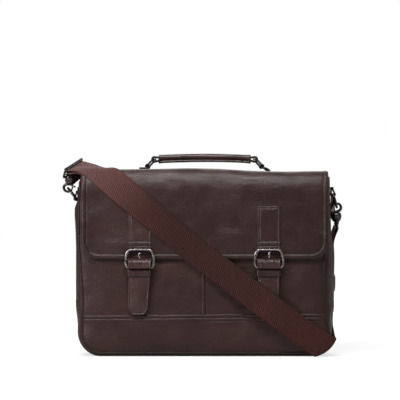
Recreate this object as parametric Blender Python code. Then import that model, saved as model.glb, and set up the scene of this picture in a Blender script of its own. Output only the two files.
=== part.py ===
"""Leather satchel with a full front flap, two buckled straps, a top handle and a shoulder strap.

Metres, +Z up. The front faces -Y, and the origin is the middle of the flat base.
"""

from math import cos, hypot, pi, radians, sin, sqrt

import bmesh
import bpy
from mathutils import Matrix, Vector

# ---------------------------------------------------------------- driving dimensions
GAP = 0.0004                      # clearance between pieces that touch

CASE_HALF_DEPTH = 0.0475          # outer face of the front and back panels
PANEL_HALF_WIDTH = 0.183
PANEL_BOTTOM = 0.005
PANEL_TOP = 0.262                 # the front wall ends under the flap
BACK_TOP = 0.2795
PANEL_THICKNESS = 0.0025
CORNER_RADIUS = 0.028
BAND_TOP = 0.063                  # ridge seam of the front base band

PIPING_RADIUS = 0.0018
GUSSET_HALF_DEPTH = 0.0444
GUSSET_TOP = 0.276
GUSSET_SEAM = 0.083               # where the side gussets meet the base gusset
SIDE_BULGE = 0.0125
BASE_BULGE = 0.0046               # PANEL_BOTTOM less the gap, so that the base is at z = 0

FLAP_HALF_WIDTH = 0.188
FLAP_TOP = 0.284
FLAP_CROWN = 0.0025               # how far the top rises in the middle
FLAP_FRONT = 0.054                # distance of its front face from the middle plane
FLAP_EDGE = 0.150                 # lower edge
FLAP_THICKNESS = 0.0026
FLAP_BEND = 0.014                 # outer radius of the bend over the front edge
FLAP_CORNER = 0.026
FLAP_HINGE = (0.0455, 0.2825)     # y and z of the fold at the back edge

STRAP_X = 0.097                   # closure straps, left and right of the middle
STRAP_WIDTH = 0.033
STRAP_TOP = 0.228
STRAP_END = 0.1300                # behind the buckle, past the flap's lower edge
BUCKLE_WIDTH = 0.0435
BUCKLE_HEIGHT = 0.032
BUCKLE_MIDDLE = 0.148
BUCKLE_WIRE = 0.0015
BUCKLE_Y = -0.0606
TAIL_TOP = 0.1290
TAIL_TIP = 0.064
TAIL_THICKNESS = 0.0028
KEEPER_TOP = 0.1280
KEEPER_HEIGHT = 0.010
MAGNET_RADIUS = 0.008
MAGNET_THICKNESS = 0.0024
MAGNET_Z = 0.078

HANDLE_TAB_X = 0.088              # pivots of the handle rings on the flap
HANDLE_LOOP_X = 0.0775            # where the rings carry the grip
HANDLE_PIVOT_Z = 0.2905
HANDLE_LOOP_Z = 0.3015
GRIP_HALF_LENGTH = 0.0715
GRIP_ARCH = 0.0022
RING_WIRE = 0.0014
RING_WIDTH = 0.020

WEB_WIDTH = 0.040
WEB_THICKNESS = 0.0016
WEB_LIFT = 0.0037                 # middle of the webbing above the leather under it

DRING_WIRE = 0.0015
DRING_WIDTH = 0.026
DRING_DEPTH = 0.018
HOOK_RADIUS = 0.0065
HOOK_WIRE = 0.0017

BOARD_SIZE = (0.296, 0.068)        # width and depth of the stiffener in the base
BOARD_HEIGHTS = (0.0030, 0.0046)
LINING_HALF_DEPTH = 0.0442
LINING_INSET = 0.0030
LINING_SKIN = 0.0008
LINING_TOP = 0.258
DIVIDER_HALF_WIDTH = 0.176
DIVIDER_HALF_FOOT = 0.152
DIVIDER_TOP = 0.235
DIVIDER_SHOULDER = 0.036
DIVIDER_BOTTOM = 0.0105
DIVIDER_HALF_THICKNESS = 0.0035
POCKET_HALF_WIDTH = 0.120
POCKET_BOTTOM = 0.060
POCKET_TOP = 0.200
POCKET_FRONT = 0.0404
POCKET_THICKNESS = 0.0010
BACK_BAND_LOW = 0.236             # the flap's sewn-on band on the back panel

STRAP_THICKNESS = 0.0019
TAIL_TAPER = 0.008                # each side of the pointed tip
KEEPER_SKIN = 0.0014
KEEPER_PLAY = 0.0005
RING_TAB_HALF_DEPTH = 0.0055
GRIP_ROLL = 0.0046
GRIP_CORE = 0.0026
GRIP_FLANGE = 0.0022              # half thickness of the flange under the roll
GRIP_DROP = 0.0075                # depth of the flange below the roll's middle
DRING_TAB_HALF_DEPTH = 0.0095
DRING_TAB_INNER = 0.1944          # the tab's face against the gusset
DRING_TAB_TOP = 0.2635
HOOK_EYE_WIRE = 0.0014
HOOK_EYE_START = 0.0245           # distance of the eye's first bar from the D-ring's bow
ADJUSTER_CENTRE = (0.1988, 0.0260, 0.110)
ADJUSTER_ACROSS = (0.10, -0.99, 0.0)
ADJUSTER_HEIGHT = 0.024
ADJUSTER_WIRE = 0.0013
ADJUSTER_LIFT = 0.0036

LEFT, RIGHT = -1, 1


# ---------------------------------------------------------------- scene and materials
def clear_scene():
    for item in list(bpy.data.objects):
        bpy.data.objects.remove(item)


def material(name, colour, roughness, metallic=0.0):
    found = bpy.data.materials.get(name)
    if found:
        return found
    made = bpy.data.materials.new(name)
    made.use_nodes = True
    shader = made.node_tree.nodes["Principled BSDF"]
    shader.inputs["Base Color"].default_value = (*colour, 1.0)
    shader.inputs["Roughness"].default_value = roughness
    shader.inputs["Metallic"].default_value = metallic
    return made


def leather():
    return material("brown_leather", (0.045, 0.026, 0.023), 0.42)


def textile():
    return material("lining_textile", (0.10, 0.075, 0.06), 0.9)


def webbing():
    return material("webbing", (0.075, 0.028, 0.024), 0.75)


def gunmetal():
    return material("gunmetal", (0.07, 0.065, 0.065), 0.3, 1.0)


def board():
    return material("board", (0.25, 0.2, 0.15), 0.8)


# ---------------------------------------------------------------- mesh helpers
def solid(name, points, faces, look, sharp=radians(40)):
    """One named object from points and faces, with every face turned outwards."""
    mesh = bpy.data.meshes.new(name)
    mesh.from_pydata([tuple(p) for p in points], [], faces)
    edit = bmesh.new()
    edit.from_mesh(mesh)
    bmesh.ops.recalc_face_normals(edit, faces=edit.faces)
    edit.to_mesh(mesh)
    edit.free()
    mesh.shade_smooth()
    mesh.set_sharp_from_angle(angle=sharp)
    made = bpy.data.objects.new(name, mesh)
    made.data.materials.append(look)
    bpy.context.scene.collection.objects.link(made)
    return made


def place_origin(item, point):
    """Puts an object's origin on its joint's axis and leaves its shape where it is."""
    item.data.transform(Matrix.Translation(-Vector(point)))
    item.location = point
    return item


def shell(name, outer, inner, look):
    """A closed sheet between two grids of points with the same rows and columns."""
    rows, columns = len(outer), len(outer[0])
    points = [p for grid in (outer, inner) for row in grid for p in row]
    back = rows * columns
    faces = []
    for r in range(rows - 1):
        for c in range(columns - 1):
            a = r * columns + c
            b = a + columns
            faces.append((a, a + 1, b + 1, b))
            faces.append((back + a, back + b, back + b + 1, back + a + 1))
    rim = [c for c in range(columns)]
    rim += [r * columns + columns - 1 for r in range(1, rows)]
    rim += [(rows - 1) * columns + c for c in range(columns - 2, -1, -1)]
    rim += [r * columns for r in range(rows - 2, 0, -1)]
    for i, a in enumerate(rim):
        b = rim[(i + 1) % len(rim)]
        faces.append((a, b, back + b, back + a))
    return solid(name, points, faces, look)


def loft(name, rings, look, closed=False):
    """Rings of points joined one to the next, with flat ends unless the loft is closed."""
    count = len(rings[0])
    points = [p for ring in rings for p in ring]
    faces = []
    for r in range(len(rings) if closed else len(rings) - 1):
        a = r * count
        b = ((r + 1) % len(rings)) * count
        for i in range(count):
            j = (i + 1) % count
            faces.append((a + i, a + j, b + j, b + i))
    if not closed:
        faces.append(tuple(range(count)))
        faces.append(tuple(range(len(points) - count, len(points))))
    return solid(name, points, faces, look)


def prism(name, outline, low, high, look, axis="y"):
    """A flat outline pushed along one axis. The outline is in the other two axes' order."""
    def at(p, depth):
        if axis == "x":
            return (depth, p[0], p[1])
        if axis == "y":
            return (p[0], depth, p[1])
        return (p[0], p[1], depth)

    return loft(name, [[at(p, low) for p in outline], [at(p, high) for p in outline]], look)


def sweep(name, path, radius, look, closed=False, sides=8, start_side=(0, 1, 0)):
    """A round wire along a path."""
    path = [Vector(p) for p in path]
    rings = []
    side = Vector(start_side)
    for i, point in enumerate(path):
        if closed:
            along = path[(i + 1) % len(path)] - path[i - 1]
        else:
            along = path[min(i + 1, len(path) - 1)] - path[max(i - 1, 0)]
        along.normalize()
        side = (side - along * side.dot(along)).normalized()
        other = along.cross(side)
        rings.append(
            [
                point + radius * (cos(a) * side + sin(a) * other)
                for a in (2 * pi * k / sides for k in range(sides))
            ]
        )
    return loft(name, rings, look, closed)


def cut(target, cutter):
    """Takes a guide solid away from an object."""
    cutter.hide_render = True
    cutter.display_type = "WIRE"
    boolean = target.modifiers.new("cut_" + cutter.name, "BOOLEAN")
    boolean.operation = "DIFFERENCE"
    boolean.solver = "EXACT"
    boolean.object = cutter
    return target


def join(target, other):
    """Unites a guide solid with an object."""
    cut(target, other)
    target.modifiers[-1].operation = "UNION"
    return target


def arc(centre, radius, first, last, steps):
    """Points on an arc, angles in degrees from the first axis towards the second."""
    angles = [radians(first + (last - first) * i / steps) for i in range(steps + 1)]
    return [(centre[0] + radius * cos(a), centre[1] + radius * sin(a)) for a in angles]


def rounded_rectangle(width, height, radius, steps=4):
    """A rectangle with round corners about the origin, as pairs."""
    w, h = width / 2 - radius, height / 2 - radius
    points = []
    for x, y, first in ((w, h, 0), (-w, h, 90), (-w, -h, 180), (w, -h, 270)):
        points += arc((x, y), radius, first, first + 90, steps)
    return points


def smooth_rows(rows, steps):
    """Rows of points along a ribbon, filled in with a smooth curve through the given rows."""
    filled = []
    for i in range(len(rows) - 1):
        before = rows[max(i - 1, 0)]
        after = rows[min(i + 2, len(rows) - 1)]
        for k in range(steps):
            t = k / steps
            row = []
            for p0, p1, p2, p3 in zip(before, rows[i], rows[i + 1], after):
                row.append(
                    0.5
                    * (
                        2 * p1
                        + (p2 - p0) * t
                        + (2 * p0 - 5 * p1 + 4 * p2 - p3) * t * t
                        + (3 * p1 - p0 - 3 * p2 + p3) * t * t * t
                    )
                )
            filled.append(row)
    filled.append(rows[-1])
    return filled


# ---------------------------------------------------------------- case
def case_outline(offset, top, steps=8):
    """The U-shaped edge of the case seen from the front, from top left round to top right."""
    half = PANEL_HALF_WIDTH + offset
    radius = CORNER_RADIUS + offset
    low = PANEL_BOTTOM - offset
    left = arc((-half + radius, low + radius), radius, 180, 270, steps)
    right = arc((half - radius, low + radius), radius, 270, 360, steps)
    return [(-half, top)] + left + right + [(half, top)]


def cropped_outline(low, high, inset=0.0):
    """The part of the case's outline between two heights, as a closed polygon."""
    edge = case_outline(-inset, high)
    if low <= PANEL_BOTTOM:
        return edge
    half = PANEL_HALF_WIDTH - inset
    return [(-half, high), (-half, low), (half, low), (half, high)]


def make_front():
    front = -CASE_HALF_DEPTH
    back = front + PANEL_THICKNESS
    low = BAND_TOP + GAP
    for name, side in (("front_panel_left", LEFT), ("front_panel_right", RIGHT)):
        inner = side * GAP / 2
        outer = side * PANEL_HALF_WIDTH
        outline = [(inner, low), (outer, low), (outer, PANEL_TOP), (inner, PANEL_TOP)]
        prism(name, outline, front, back, leather())
    prism("front_base_band", cropped_outline(0, BAND_TOP), front - 0.0005, back, leather())


def make_back():
    outer = CASE_HALF_DEPTH
    low = BAND_TOP + GAP
    prism(
        "back_panel",
        cropped_outline(low, BACK_TOP),
        outer - PANEL_THICKNESS,
        outer,
        leather(),
    )
    prism(
        "back_base_band",
        cropped_outline(0, BAND_TOP),
        outer - PANEL_THICKNESS,
        outer + 0.0005,
        leather(),
    )
    half = FLAP_HALF_WIDTH
    low = BACK_BAND_LOW
    prism(
        "flap_back_band",
        [(-half, BACK_TOP), (-half, low), (half, low), (half, BACK_TOP)],
        outer + PIPING_RADIUS - 0.0006,
        outer + PIPING_RADIUS + 0.0018,
        leather(),
    )


def make_piping():
    outline = case_outline(PIPING_RADIUS + GAP, PANEL_TOP - 0.004)
    for name, side in (("piping_front", -1), ("piping_back", 1)):
        y = side * (CASE_HALF_DEPTH - 0.001)
        path = [(x, y, z) for x, z in outline]
        sweep(name, path, PIPING_RADIUS, leather(), sides=6)


def gusset_path():
    """Edge points with outward directions, from the top left of the U to its top right."""
    half, radius = PANEL_HALF_WIDTH + GAP, CORNER_RADIUS + GAP
    low = PANEL_BOTTOM - GAP
    spots = []
    heights = [GUSSET_TOP + (GUSSET_SEAM - GUSSET_TOP) * i / 9 for i in range(10)]
    heights += [0.066, 0.050, low + radius + 0.001]
    for z in heights:
        spots.append(((-half, z), (-1, 0)))
    for i in range(9):
        a = radians(180 + 90 * i / 8)
        centre = (-half + radius, low + radius)
        spots.append(
            ((centre[0] + radius * cos(a), centre[1] + radius * sin(a)), (cos(a), sin(a)))
        )
    for x in (-0.10, -0.05, 0.0):
        spots.append(((x, low), (0, -1)))
    mirrored = [((-p[0], p[1]), (-n[0], n[1])) for p, n in spots[:-1]]
    return spots + mirrored[::-1]


def side_bulge(z):
    """How far the gusset's middle stands out of the case's side at a height."""
    top_share = (z - 0.14) / (GUSSET_TOP - 0.14)
    low_share = (0.14 - z) / 0.14
    share = top_share if z > 0.14 else low_share
    return SIDE_BULGE * (1 - 0.28 * share * share)


def gusset_row(spot, thickness_inwards):
    """Points across the gusset's depth at one place on the case's edge."""
    (x, z), (nx, nz) = spot
    down = max(0.0, -nz)
    bulge = side_bulge(z) * (1 - down) + BASE_BULGE * down
    if 0 < down < 1:
        bulge = min(bulge, 0.0065 * (1 - down) + (BASE_BULGE - 0.0004) * down)
    row = []
    for k in range(13):
        v = -1 + 2 * k / 12
        round_share = 1 - v * v
        flat_share = min(1.0, (1 - abs(v)) / 0.16)
        share = round_share * (1 - down) + flat_share * down
        reach = bulge * share - thickness_inwards
        row.append(Vector((x + nx * reach, v * GUSSET_HALF_DEPTH, z + nz * reach)))
    return row


def make_gussets():
    spots = gusset_path()
    pieces = {
        "gusset_left": [s for s in spots if s[0][0] < 0 and s[0][1] > GUSSET_SEAM - 1e-6],
        "gusset_right": [s for s in spots if s[0][0] > 0 and s[0][1] > GUSSET_SEAM - 1e-6],
        "base_gusset": [s for s in spots if s[0][1] < GUSSET_SEAM - 1e-6],
    }
    seam = GUSSET_SEAM - GAP
    half = PANEL_HALF_WIDTH + GAP
    pieces["base_gusset"].insert(0, ((-half, seam), (-1, 0)))
    pieces["base_gusset"].append(((half, seam), (1, 0)))
    for name, places in pieces.items():
        outer = [gusset_row(s, 0.0) for s in places]
        inner = [gusset_row(s, PANEL_THICKNESS) for s in places]
        shell(name, outer, inner, leather())


def make_inside():
    board_outline = rounded_rectangle(*BOARD_SIZE, 0.008, 3)
    prism("base_board", board_outline, *BOARD_HEIGHTS, board(), axis="z")

    depth = LINING_HALF_DEPTH
    outline = cropped_outline(0, LINING_TOP, inset=LINING_INSET)
    outer = prism("lining", outline, -depth, depth, textile())
    away = LINING_INSET + LINING_SKIN
    lift = PANEL_BOTTOM + away
    half = PANEL_HALF_WIDTH - away
    radius = CORNER_RADIUS - away
    hollow = arc((-half + radius, lift + radius), radius, 180, 270, 8)
    hollow += arc((half - radius, lift + radius), radius, 270, 360, 8)
    above = LINING_TOP + 0.012
    hollow = [(-half, above)] + hollow + [(half, above)]
    inner = depth - LINING_SKIN
    cut(outer, prism("lining_hollow", hollow, -inner, inner, textile()))

    wide, foot, thick = DIVIDER_HALF_WIDTH, DIVIDER_HALF_FOOT, DIVIDER_HALF_THICKNESS
    right_edge = [(foot, DIVIDER_BOTTOM), (wide, DIVIDER_SHOULDER), (wide, DIVIDER_TOP)]
    left_edge = [(-x, z) for x, z in right_edge[::-1]]
    prism("divider", left_edge + right_edge, -thick, thick, textile())

    wide = POCKET_HALF_WIDTH
    outline = [(-wide, POCKET_TOP), (-wide, POCKET_BOTTOM), (wide, POCKET_BOTTOM), (wide, POCKET_TOP)]
    prism("slip_pocket", outline, POCKET_FRONT, POCKET_FRONT + POCKET_THICKNESS, textile())


# ---------------------------------------------------------------- flap
def crown(x):
    return FLAP_CROWN * (1 - (x / FLAP_HALF_WIDTH) ** 2)


def flap_point(x, run, lift=0.0):
    """A point over the flap: run is the height on the front face, carried on over the top."""
    bend_z = FLAP_TOP - FLAP_BEND
    bend_y = -(FLAP_FRONT - FLAP_BEND)
    radius = FLAP_BEND + lift
    if run <= bend_z:
        return Vector((x, -FLAP_FRONT - lift, run))
    angle = (run - bend_z) / FLAP_BEND
    rise = crown(x)
    if angle < pi / 2:
        y = bend_y - radius * cos(angle)
        return Vector((x, y, bend_z + radius * sin(angle) + rise * sin(angle) ** 2))
    beyond = run - bend_z - FLAP_BEND * pi / 2
    return Vector((x, bend_y + beyond, FLAP_TOP + lift + rise))


def flap_run_at(y):
    """The run whose point on the flap's top lies at a depth."""
    return FLAP_TOP - FLAP_BEND + FLAP_BEND * pi / 2 + y + FLAP_FRONT - FLAP_BEND


def flap_grid(half_width, corner, low, high_y, lift, columns=20):
    """Rows across the width, each from the lower edge up over the top to the back."""
    rows = []
    for c in range(columns + 1):
        x = half_width * sin(pi / 2 * (-1 + 2 * c / columns))
        past = abs(x) - (half_width - corner)
        edge = low
        if past > 0:
            edge += corner - sqrt(max(0.0, corner * corner - past * past))
        bend = FLAP_TOP - FLAP_BEND
        runs = [edge + (bend - edge) * i / 5 for i in range(5)]
        runs += [bend + FLAP_BEND * pi / 2 * i / 6 for i in range(7)]
        runs += [flap_run_at(y) for y in (0.0, high_y)]
        rows.append([flap_point(x, run, lift) for run in runs])
    return rows


def make_flap():
    back = FLAP_HINGE[0] + 0.0005
    outer = flap_grid(FLAP_HALF_WIDTH, FLAP_CORNER, FLAP_EDGE, back, 0.0)
    inner = flap_grid(FLAP_HALF_WIDTH, FLAP_CORNER, FLAP_EDGE, back, -FLAP_THICKNESS)
    flap = shell("flap_leather", outer, inner, leather())
    depth = -FLAP_THICKNESS - 0.0003
    inset = 0.004
    size = (FLAP_HALF_WIDTH - inset, FLAP_CORNER - inset, FLAP_EDGE + inset, back - inset)
    outer = flap_grid(*size, depth)
    inner = flap_grid(*size, depth - 0.0006)
    lining = shell("flap_lining", outer, inner, textile())
    for item in (flap, lining):
        place_origin(item, (0, *FLAP_HINGE))


# ---------------------------------------------------------------- closures
def strap_grid(x, width, spots, thickness):
    """A strap's front and back grids from (height, front face's distance) pairs."""
    front, back = [], []
    for z, y in spots:
        front.append([Vector((x - width / 2, -y, z)), Vector((x + width / 2, -y, z))])
        back.append(
            [Vector((x - width / 2, -y + thickness, z)), Vector((x + width / 2, -y + thickness, z))]
        )
    return front, back


def tail_front(z):
    """Distance of the tail's front face from the middle plane at a height."""
    top, tip = 0.0590, 0.0575
    share = (TAIL_TOP - z) / (TAIL_TOP - TAIL_TIP)
    return top + (tip - top) * share


def make_closure(side, name):
    x = side * STRAP_X
    sewn = FLAP_FRONT + 0.0003
    spots = [(STRAP_TOP, sewn + 0.0019), (0.170, sewn + 0.0021), (STRAP_END, sewn + 0.0021)]
    strap = shell(
        "closure_strap_" + name, *strap_grid(x, STRAP_WIDTH, spots, STRAP_THICKNESS), leather()
    )
    place_origin(strap, (0, *FLAP_HINGE))

    outline = rounded_rectangle(
        BUCKLE_WIDTH - 2 * BUCKLE_WIRE, BUCKLE_HEIGHT - 2 * BUCKLE_WIRE, 0.006, 3
    )
    path = [(x + px, BUCKLE_Y, BUCKLE_MIDDLE + pz) for px, pz in outline]
    frame = sweep("buckle_frame_" + name, path, BUCKLE_WIRE, gunmetal(), closed=True, sides=8)
    reach = BUCKLE_WIDTH / 2 - BUCKLE_WIRE
    bar = sweep(
        "buckle_bar_guide_" + name,
        [(x - reach, BUCKLE_Y, BUCKLE_MIDDLE), (x + reach, BUCKLE_Y, BUCKLE_MIDDLE)],
        0.0013,
        gunmetal(),
    )
    join(frame, bar)

    start = BUCKLE_MIDDLE + 0.0016
    prong_path = [
        (x, BUCKLE_Y - 0.0004, start + 0.0012),
        (x, BUCKLE_Y - 0.0012, start + 0.005),
        (x, BUCKLE_Y - 0.0024, start + 0.0095),
    ]
    prong = sweep("prong_" + name, prong_path, 0.0011, gunmetal(), sides=6, start_side=(1, 0, 0))
    place_origin(prong, (x, BUCKLE_Y, BUCKLE_MIDDLE))

    half = STRAP_WIDTH / 2
    tail_rows = []
    for z in (TAIL_TOP, 0.112, 0.092, TAIL_TIP + 0.009, TAIL_TIP):
        w = half - TAIL_TAPER if z == TAIL_TIP else half
        front = -tail_front(z)
        tail_rows.append([Vector((x - w, front, z)), Vector((x + w, front, z))])
    back_rows = [[p + Vector((0, TAIL_THICKNESS, 0)) for p in row] for row in tail_rows]
    tail = shell("tail_" + name, tail_rows, back_rows, leather())
    place_origin(tail, tail_pivot(side))

    low = KEEPER_TOP - KEEPER_HEIGHT
    middle = -tail_front(KEEPER_TOP - KEEPER_HEIGHT / 2) + TAIL_THICKNESS / 2
    across, depth = half + KEEPER_PLAY, TAIL_THICKNESS / 2 + 0.0009
    corners = ((-1, -1), (1, -1), (1, 1), (-1, 1))
    outline = [(cx * across, cy * depth) for cx, cy in corners]
    wide = [(cx * (across + KEEPER_SKIN), cy * (depth + KEEPER_SKIN)) for cx, cy in corners]
    lean = (tail_front(KEEPER_TOP) - tail_front(low)) / 2
    rings = []
    for loop, z, shift in (
        (wide, KEEPER_TOP, -lean),
        (wide, low, lean),
        (outline, low, lean),
        (outline, KEEPER_TOP, -lean),
    ):
        rings.append([Vector((x + px, middle + py + shift, z)) for px, py in loop])
    loft("keeper_" + name, rings, leather(), closed=True)

    disc = arc((x, MAGNET_Z), MAGNET_RADIUS, 0, 360, 20)[:-1]
    panel = -CASE_HALF_DEPTH - 0.0003
    prism("magnet_plate_" + name, disc, panel - MAGNET_THICKNESS, panel, gunmetal())
    back = -tail_front(MAGNET_Z) + TAIL_THICKNESS
    magnet = prism("magnet_" + name, disc, back + 0.0010, back + 0.0010 + 0.0020, gunmetal())
    place_origin(magnet, tail_pivot(side))


def tail_pivot(side):
    """Where a tail bends under its buckle's lower bar."""
    return (side * STRAP_X, -0.0576, 0.1295)


# ---------------------------------------------------------------- handle
def make_handle_tabs():
    for name, side in (("handle_tab_left", LEFT), ("handle_tab_right", RIGHT)):
        eye = (side * HANDLE_TAB_X, HANDLE_PIVOT_Z)
        outline = arc((HANDLE_TAB_X, HANDLE_PIVOT_Z), 0.0040, 70, 290, 12)
        outline += [(0.0905, 0.28665), (0.103, 0.28645), (0.103, 0.2884), (0.094, 0.2898)]
        outline = [(side * x, z) for x, z in outline]
        tab = prism(name, outline, -RING_TAB_HALF_DEPTH, RING_TAB_HALF_DEPTH, leather())
        hole = arc(eye, 0.0023, 0, 360, 14)[:-1]
        cut(tab, prism(name + "_eye", hole, -0.01, 0.01, leather()))
        place_origin(tab, (0, *FLAP_HINGE))


def grip_middle(x):
    """Height of the grip's roll at a place along it."""
    return 0.3018 + GRIP_ARCH * (1 - (x / GRIP_HALF_LENGTH) ** 2)


def make_handle():
    flange, drop = GRIP_FLANGE, GRIP_DROP
    stations = [GRIP_HALF_LENGTH * (-1 + 2 * i / 14) for i in range(15)]
    outside, inside = [], []
    for x in stations:
        z = grip_middle(x)
        shape = arc((0, z), GRIP_ROLL, -50, 230, 12)
        shape += [(-flange, z - drop), (flange, z - drop)]
        outside.append([Vector((x, y, height)) for y, height in shape])
        hollow = arc((0, z), GRIP_CORE + 0.0003, -78, 258, 14)
        inside.append([Vector((x, y, height)) for y, height in hollow])
    rings = outside + inside[::-1]
    loft("handle_grip", rings, leather(), closed=True)
    path = [(x, 0, grip_middle(x)) for x in stations[1:-1]]
    sweep("handle_core", path, GRIP_CORE, textile(), sides=10)

    for name, side in (("left", LEFT), ("right", RIGHT)):
        end = GRIP_HALF_LENGTH + GAP
        outline = arc((HANDLE_LOOP_X + 0.0002, HANDLE_LOOP_Z), 0.0045, -110, 110, 12)
        outline += [(end, HANDLE_LOOP_Z + 0.0042), (end, HANDLE_LOOP_Z - 0.0042)]
        outline = [(side * x, z) for x, z in outline]
        depth = RING_TAB_HALF_DEPTH
        loop = prism("handle_loop_" + name, outline, -depth, depth, leather())
        slot = [(side * x, z) for x, z in loop_slot()]
        cut(loop, prism("loop_slot_" + name, slot, -0.01, 0.01, leather()))
        low = Vector((side * HANDLE_TAB_X, 0, HANDLE_PIVOT_Z))
        high = Vector((side * HANDLE_LOOP_X, 0, HANDLE_LOOP_Z))
        slant = high - low
        outline = rounded_rectangle(RING_WIDTH, slant.length, 0.0040, 3)
        middle = (low + high) / 2
        up = slant.normalized()
        path = [middle + Vector((0, w, 0)) + up * h for w, h in outline]
        ring = sweep(
            "handle_ring_" + name, path, RING_WIRE, gunmetal(), closed=True, start_side=(1, 0, 0)
        )
        place_origin(ring, low)


def loop_slot():
    """The long eye of the grip's end loop, wide enough for the ring bar as the ring folds."""
    inner, outer = HANDLE_LOOP_X - 0.0040, HANDLE_LOOP_X + 0.0003
    radius = 0.0022
    points = arc((outer, HANDLE_LOOP_Z), radius, -90, 90, 6)
    points += arc((inner, HANDLE_LOOP_Z), radius, 90, 270, 6)
    return points


# ---------------------------------------------------------------- shoulder strap
def flat_row(x, run, lift, slope):
    """A row across the webbing where it lies over the flap, unrolled at (x, run)."""
    length = hypot(1, slope)
    across = (-slope / length, 1 / length)
    row = []
    for k in range(7):
        share = (-0.5 + k / 6) * WEB_WIDTH
        row.append(flap_point(x + across[0] * share, run + across[1] * share, lift))
    return row


def free_row(centre, across):
    """A straight row across the webbing in the open."""
    centre, across = Vector(centre), Vector(across).normalized()
    return [centre + across * ((-0.5 + k / 6) * WEB_WIDTH) for k in range(7)]


def webbing_rows():
    """The shoulder strap from the left hook's bar to the right hook's bar."""
    steep, shallow = -0.835, -0.755
    rows = [free_row((-0.1983, -0.0150, 0.2965), (0.020, 0.030, 0.0145))]
    rows.append(free_row((-0.1850, -0.0255, 0.2975), (0.0215, 0.029, 0.0075)))
    for x, run in ((-0.166, 0.2870), (-0.148, 0.2720), (-0.1288, 0.256), (-0.100, 0.232)):
        rows.append(flat_row(x, run, WEB_LIFT, steep))
    for x, run, lift in ((-0.068, 0.2052, 0.0037), (-0.035, 0.178, 0.0030), (-0.007, 0.155, 0.0028)):
        rows.append(flat_row(x, run, lift, -0.80))
    spots = (
        (0.025, 0.131, 0.0045),
        (0.050, 0.112, 0.0066),
        (0.078, 0.0905, 0.0076),
        (0.098, 0.0752, 0.0076),
        (0.118, 0.060, 0.0068),
        (0.145, 0.0395, 0.0042),
        (0.165, 0.0265, 0.0012),
    )
    for x, run, lift in spots:
        rows.append(flat_row(x, run, lift, shallow))
    across = (0.63, 0.0, 0.776)
    rows.append(free_row((0.1780, -0.0535, 0.0195), across))
    rows.append(free_row((0.1862, -0.0480, 0.0185), across))
    rows.append(free_row((0.1885, -0.0360, 0.0190), across))
    rows.append(free_row((0.1940, -0.0120, 0.0235), (0.50, -0.30, 0.81)))
    rows.append(free_row((0.1985, 0.0100, 0.0420), (0.30, -0.76, 0.57)))
    rows.append(free_row((0.1990, 0.0220, 0.0740), (0.15, -0.96, 0.25)))
    rows.append(free_row((0.1988, 0.0260, 0.1100), (0.10, -0.99, 0.0)))
    rows.append(free_row((0.1990, 0.0230, 0.1480), (0.06, -0.99, 0.0)))
    rows.append(free_row((0.2000, 0.0150, 0.1740), (0.02, -0.99, -0.05)))
    rows.append(free_row((0.2005, 0.0095, 0.1870), (0.0, -1.0, -0.05)))
    return smooth_rows(rows, 3)


def row_normals(rows):
    """The webbing's outward direction at each of its points."""
    normals = []
    for r, row in enumerate(rows):
        line = []
        for c in range(len(row)):
            along = rows[min(r + 1, len(rows) - 1)][c] - rows[max(r - 1, 0)][c]
            across = row[min(c + 1, len(row) - 1)] - row[max(c - 1, 0)]
            line.append(along.cross(across).normalized())
        normals.append(line)
    return normals


def make_webbing():
    rows = webbing_rows()
    normals = row_normals(rows)
    half = WEB_THICKNESS / 2
    front = [[p + n * half for p, n in zip(*pair)] for pair in zip(rows, normals)]
    back = [[p - n * half for p, n in zip(*pair)] for pair in zip(rows, normals)]
    shell("shoulder_strap", front, back, webbing())


# ---------------------------------------------------------------- strap hardware
DRING_BAR = {LEFT: Vector((-0.1985, 0, 0.2410)), RIGHT: Vector((0.1985, 0, 0.2470))}
DRING_AIM = {LEFT: Vector((-0.62, 0, 0.785)), RIGHT: Vector((0.28, 0, -0.96))}
WEB_BAR = {LEFT: Vector((-0.2017, -0.0165, 0.2930)), RIGHT: Vector((0.2010, 0.0090, 0.1905))}
WEB_BAR_AIM = {LEFT: Vector((0.020, 0.030, 0.0145)), RIGHT: Vector((0.0, -1.0, -0.05))}


def dring_bow(side):
    return DRING_BAR[side] + DRING_AIM[side] * DRING_DEPTH


def hook_frame(side):
    """Directions along the hook, across its bow and square to both."""
    along = (WEB_BAR[side] - dring_bow(side)).normalized()
    flat = Vector((0, 1, 0))
    flat = (flat - along * flat.dot(along)).normalized()
    out = flat.cross(along)
    if out.x * side < 0:
        out = -out
    return along, out, along.cross(out)


def make_dring(side, name):
    bar, aim = DRING_BAR[side], DRING_AIM[side]
    across = Vector((0, 1, 0))
    half = DRING_WIDTH / 2
    path = [bar + across * (half - 0.003), bar - across * (half - 0.003)]
    bow = arc((0, 0), 1, 180, 0, 12)
    neck = DRING_DEPTH * 0.35
    for w, h in bow:
        path.append(bar + across * (w * half) + aim * (neck + h * (DRING_DEPTH - neck)))
    ring = sweep("dring_" + name, path, DRING_WIRE, gunmetal(), closed=True, start_side=(1, 0, 0))
    place_origin(ring, bar)

    eye = (bar.x * side, bar.z)
    inner, top = DRING_TAB_INNER, DRING_TAB_TOP
    outline = arc(eye, 0.0040, 60, -235, 14)
    outline += [(inner, bar.z + 0.006), (inner, top)]
    outline += [(inner + 0.0024, top), (inner + 0.0028, bar.z + 0.008)]
    outline = [(side * px, pz) for px, pz in outline]
    depth = DRING_TAB_HALF_DEPTH
    tab = prism("dring_tab_" + name, outline, -depth, depth, leather())
    hole = [(side * px, pz) for px, pz in arc(eye, 0.0022, 0, 360, 14)[:-1]]
    cut(tab, prism("dring_tab_eye_" + name, hole, -0.02, 0.02, leather()))


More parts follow.
